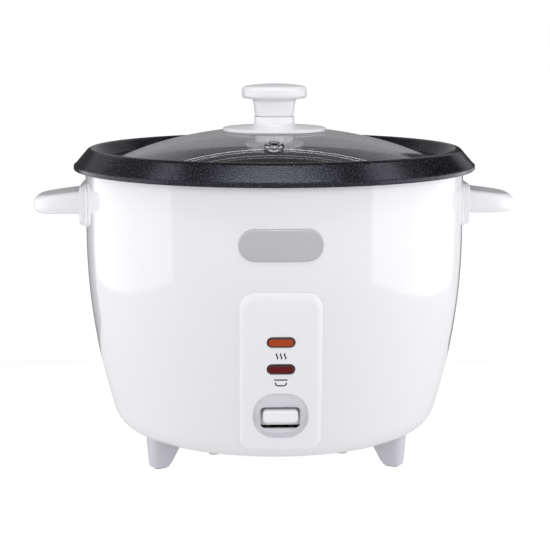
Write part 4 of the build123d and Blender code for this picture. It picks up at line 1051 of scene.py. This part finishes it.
def make_handle(side):
    """Side grip with its root pad and flange, closed forms in one piece."""
    middle = (0, handle_root_z)

    def root_loop(grow):
        return box_loop(handle_root_width, handle_root_height, handle_root_corner, grow, middle)

    def flange_loop(grow):
        return box_loop(flange_width, flange_height, flange_corner, grow, middle)

    def flange_x(y):
        return math.sqrt((shell_radius + flange_proud) ** 2 - y**2)

    form = bmesh.new()
    add_stack(form, grip_rings())
    add_stack(form, pad_rings(root_loop, handle_root_edge, lambda y: shell_radius + handle_root_proud))
    add_stack(form, pad_rings(flange_loop, flange_edge, flange_x), True, False)
    add_sheet(form, [flange_loop(-flange_edge)], lambda y, z: Vector((flange_x(y), y, z)))
    name = "right" if side > 0 else "left"
    piece = piece_from("grip_" + name, merged(form))
    if side < 0:
        piece.data.transform(Matrix.Rotation(math.pi, 4, "Z"))
    return dress(piece, "housing", "white_plastic", "handle_" + name)


# Feet

def underside(radius):
    """Height of the underside at a radius: the base plate, or the shell's rounded corner beyond it."""
    if radius < base_plate_radius:
        return foot_height
    beyond = max(0.0, radius - flat_radius)
    return corner_z - math.sqrt(shell_corner**2 - beyond**2)


def make_foot(node_name, angle):
    """Tapered foot with a soft lower edge, its top against the base plate and the shell, coloured grey as
    painted shade under the body.
    """
    height = foot_height - foot_low
    steps = [(grow, rise, 0) for grow, rise in foot_edge]
    steps += [(0, share * height, share) for share in foot_shares]
    rings = []
    for grow, rise, share in steps:
        length = foot_length + share * (foot_top_extra + foot_draft)
        width = foot_width + 2 * share * foot_draft
        outer = foot_circle + share * foot_draft
        loop = box_loop(length, width, foot_corner, grow, (outer - length / 2, 0))
        rings.append([Vector((p.x, p.y, foot_low + rise)) for p in loop])
    rings[-1] = [Vector((p.x, p.y, underside(math.hypot(p.x, p.y)))) for p in rings[-1]]
    foot = stack(node_name.replace("foot", "stand"), rings)
    foot.data.transform(Matrix.Rotation(math.radians(angle), 4, "Z"))
    dress(foot, "housing", "white_plastic", node_name)
    # Grey in place of the white plastic: painted shade under the body
    foot.data.materials[0] = foot_shade_look


# Magnet spring

def make_spring():
    """Coil between the magnet and the ferrite, made at one fixed length; the real coil flattens as the magnet
    rises.
    """
    low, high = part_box("magnet_spring")
    length = high.z - low.z
    reach = high.x - spring_wire / 2
    steps = spring_turns * COIL_STEPS
    rings = []
    for n in range(steps + 1):
        turn = 2 * math.pi * spring_turns * n / steps
        out = Vector((math.cos(turn), math.sin(turn), 0))
        middle = out * reach
        middle.z = low.z + spring_wire / 2 + (length - spring_wire) * n / steps
        section = arc((0, 0), spring_wire / 2, 0, 2 * math.pi, 2 * CORNER_STEPS)[:-1]
        rings.append([middle + out * p.x + Vector((0, 0, p.y)) for p in section])
    spring = dress(stack("magnet_coil", rings), "magnet", "spring_steel", "magnet_spring")
    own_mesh(spring)


# All pieces

make_shell()
make_pot()
make_glass()
make_eyelet()
make_knob()
make_panel()
make_lens("window_upper", lens_z[0], "amber_lens", "upper_lens")
make_lens("window_lower", lens_z[1], "red_lens", "lower_lens")
make_marks()
make_paddle()
make_badge()
make_handle(1)
make_handle(-1)
make_spring()
for foot_name, foot_angle in foot_angles.items():
    make_foot(foot_name, foot_angle)

# Solids that keep their own shape get the look of their slot
for subpart in frame["record"]["subparts"]:
    solid = frame["nodes"][subpart["node"]]
    solid.data.materials.clear()
    solid.data.materials.append(looks[subpart["material_slot"]])

# Stage
FLOOR_SIZE = 6.0
FLOOR_WHITE = 0.93
FLOOR_LEVEL = 0.6
FRONT_LEVEL = 1.26
BACK_LEVEL = 0.36
TOP_LEVEL = 0.12
FRONT_END = -0.2
BACK_START = 0.4
SIDE_END = 0.4
TOP_START = 0.75
LEFT_HEIGHT = 0.27
RIGHT_HEIGHT = 0.21
GAP_HEIGHT = 0.26
DARK_HEIGHT = 0.62
SPOT_BLEND = 0.6
SPOT_RADIUS = 0.08
KNOB_SPOT_CONE = math.radians(5.4)
middle_of_rim = (0, 0, 0.17)
middle_of_knob = (0, 0, 0.198)
front_of_rim = (0, -0.05, 0.17)
scene = bpy.context.scene
scene.view_settings.view_transform = "Standard"


def make_floor():
    """Pale floor that the camera sees almost free of shadows, and that lights the object more dimly."""
    look, tree, shader, _ = new_look("floor", (0.2, 0.2, 0.2), 0.8)
    shader.inputs["Specular IOR Level"].default_value = 0.1
    shader.inputs["Emission Color"].default_value = (1, 1, 1, 1)
    glow = node(tree, "ShaderNodeMapRange", {"To Min": FLOOR_LEVEL, "To Max": FLOOR_WHITE})
    tree.links.new(node(tree, "ShaderNodeLightPath").outputs["Is Camera Ray"], glow.inputs["Value"])
    tree.links.new(glow.outputs["Result"], shader.inputs["Emission Strength"])
    form = bmesh.new()
    bmesh.ops.create_grid(form, x_segments=1, y_segments=1, size=FLOOR_SIZE)
    floor = piece_from("floor", form)
    floor.data.materials.append(look)


def make_studio():
    """World that is white to the camera, and lights the object most from the front."""
    world = bpy.data.worlds.new("studio")
    world.use_nodes = True
    tree = world.node_tree
    backdrop = tree.nodes["Background"]
    backdrop.inputs["Color"].default_value = (1, 1, 1, 1)
    axes = node(tree, "ShaderNodeSeparateXYZ")
    tree.links.new(node(tree, "ShaderNodeTexCoord").outputs["Generated"], axes.inputs["Vector"])
    front = spread(tree, axes.outputs["Y"], FRONT_LEVEL, BACK_LEVEL, FRONT_END, BACK_START)
    top = spread(tree, axes.outputs["Z"], 1.0, TOP_LEVEL, SIDE_END, TOP_START)
    level = node(tree, "ShaderNodeMath", operation="MULTIPLY")
    tree.links.new(front, level.inputs[0])
    tree.links.new(top, level.inputs[1])
    light = node(tree, "ShaderNodeBackground", {"Color": (0.955, 0.96, 1.0, 1)})
    tree.links.new(level.outputs["Value"], light.inputs["Strength"])
    mix = node(tree, "ShaderNodeMixShader")
    tree.links.new(node(tree, "ShaderNodeLightPath").outputs["Is Camera Ray"], mix.inputs["Fac"])
    tree.links.new(light.outputs["Background"], mix.inputs[1])
    tree.links.new(backdrop.outputs["Background"], mix.inputs[2])
    tree.links.new(mix.outputs["Shader"], tree.nodes["World Output"].inputs["Surface"])
    scene.world = world


def add_card(name, start, end, height, level, low=0.0):
    """Upright studio card between two places, black or evenly glowing, and hidden from the camera."""
    look = bpy.data.materials.new(name)
    look.use_nodes = True
    tree = look.node_tree
    tree.nodes.remove(tree.nodes["Principled BSDF"])
    glow = node(tree, "ShaderNodeEmission", {"Color": (0.98, 0.98, 1.0, 1), "Strength": level})
    tree.links.new(glow.outputs["Emission"], tree.nodes["Material Output"].inputs["Surface"])
    form = bmesh.new()
    corners = [(*start, low), (*end, low), (*end, height), (*start, height)]
    form.faces.new([form.verts.new(corner) for corner in corners])
    card = piece_from(name, form)
    card.data.materials.append(look)
    card.visible_camera = False


def aim(data, place, target):
    """Puts a light at a place and turns it towards a target."""
    light = bpy.data.objects.new(data.name, data)
    light.location = place
    light.rotation_euler = (Vector(target) - Vector(place)).to_track_quat("-Z", "Y").to_euler()
    scene.collection.objects.link(light)


def add_light(name, place, target, size, power):
    """Soft rectangular light that faces a target."""
    data = bpy.data.lights.new(name, "AREA")
    data.shape = "RECTANGLE"
    data.size, data.size_y = size
    data.energy = power
    aim(data, place, target)


def add_spot(name, place, target, cone, power):
    """Narrow soft-edged light on one place."""
    data = bpy.data.lights.new(name, "SPOT")
    data.spot_size = cone
    data.spot_blend = SPOT_BLEND
    data.shadow_soft_size = SPOT_RADIUS
    data.energy = power
    aim(data, place, target)


make_floor()
make_studio()
add_card("card_right", (0.46, -0.355), (0.46, 0.36), RIGHT_HEIGHT, 2.3)
add_card("card_left", (-0.5, -0.3), (-0.46, 0.4), LEFT_HEIGHT, 1.95)
add_card("gap_left", (-0.28, 0.22), (-0.13, 0.24), GAP_HEIGHT, 0.07)
add_card("gap_middle", (-0.13, 0.24), (0.13, 0.24), GAP_HEIGHT, 0.34)
add_card("gap_right", (0.13, 0.24), (0.205, 0.22), GAP_HEIGHT, 0.05)
add_card("dark_right", (0.62, 0.137), (0.414, 0.407), DARK_HEIGHT, 0.0, GAP_HEIGHT)
add_light("overhead", (-0.05, -1.3, 4.0), front_of_rim, (3.9, 0.7), 50.0)
add_light("shoulder_left", (-0.9, -0.06, 1.05), middle_of_rim, (0.4, 0.5), 1.25)
add_light("shoulder_right", (0.9, -0.06, 1.05), middle_of_rim, (0.4, 0.5), 1.35)
add_light("strip", (0, 1.1, 0.95), middle_of_rim, (2.4, 0.012), 0.2)
add_light("strip_upper", (0, 1.1, 1.1), middle_of_rim, (2.4, 0.012), 0.08)
add_spot("knob_spot", (0.12, -1.2, 0.62), middle_of_knob, KNOB_SPOT_CONE, 24.0)

# Camera
CAMERA_DISTANCE = 0.95
CAMERA_RISE = 0.2387
CAMERA_HEIGHT = shell_bottom + CAMERA_RISE
CAMERA_TURN = math.radians(1.9)
CAMERA_PITCH = math.radians(9.08)
CAMERA_LENS = 108.95
CAMERA_SENSOR = 36.0
CAMERA_SHIFT = 0.0013
camera_data = bpy.data.cameras.new("camera")
camera_data.lens = CAMERA_LENS
camera_data.sensor_width = CAMERA_SENSOR
camera_data.shift_x = CAMERA_SHIFT
camera = bpy.data.objects.new("camera", camera_data)
camera.location = (
    -CAMERA_DISTANCE * math.sin(CAMERA_TURN),
    -CAMERA_DISTANCE * math.cos(CAMERA_TURN),
    CAMERA_HEIGHT,
)
camera.rotation_euler = (math.pi / 2 - CAMERA_PITCH, 0, -CAMERA_TURN)
scene.collection.objects.link(camera)
scene.camera = camera
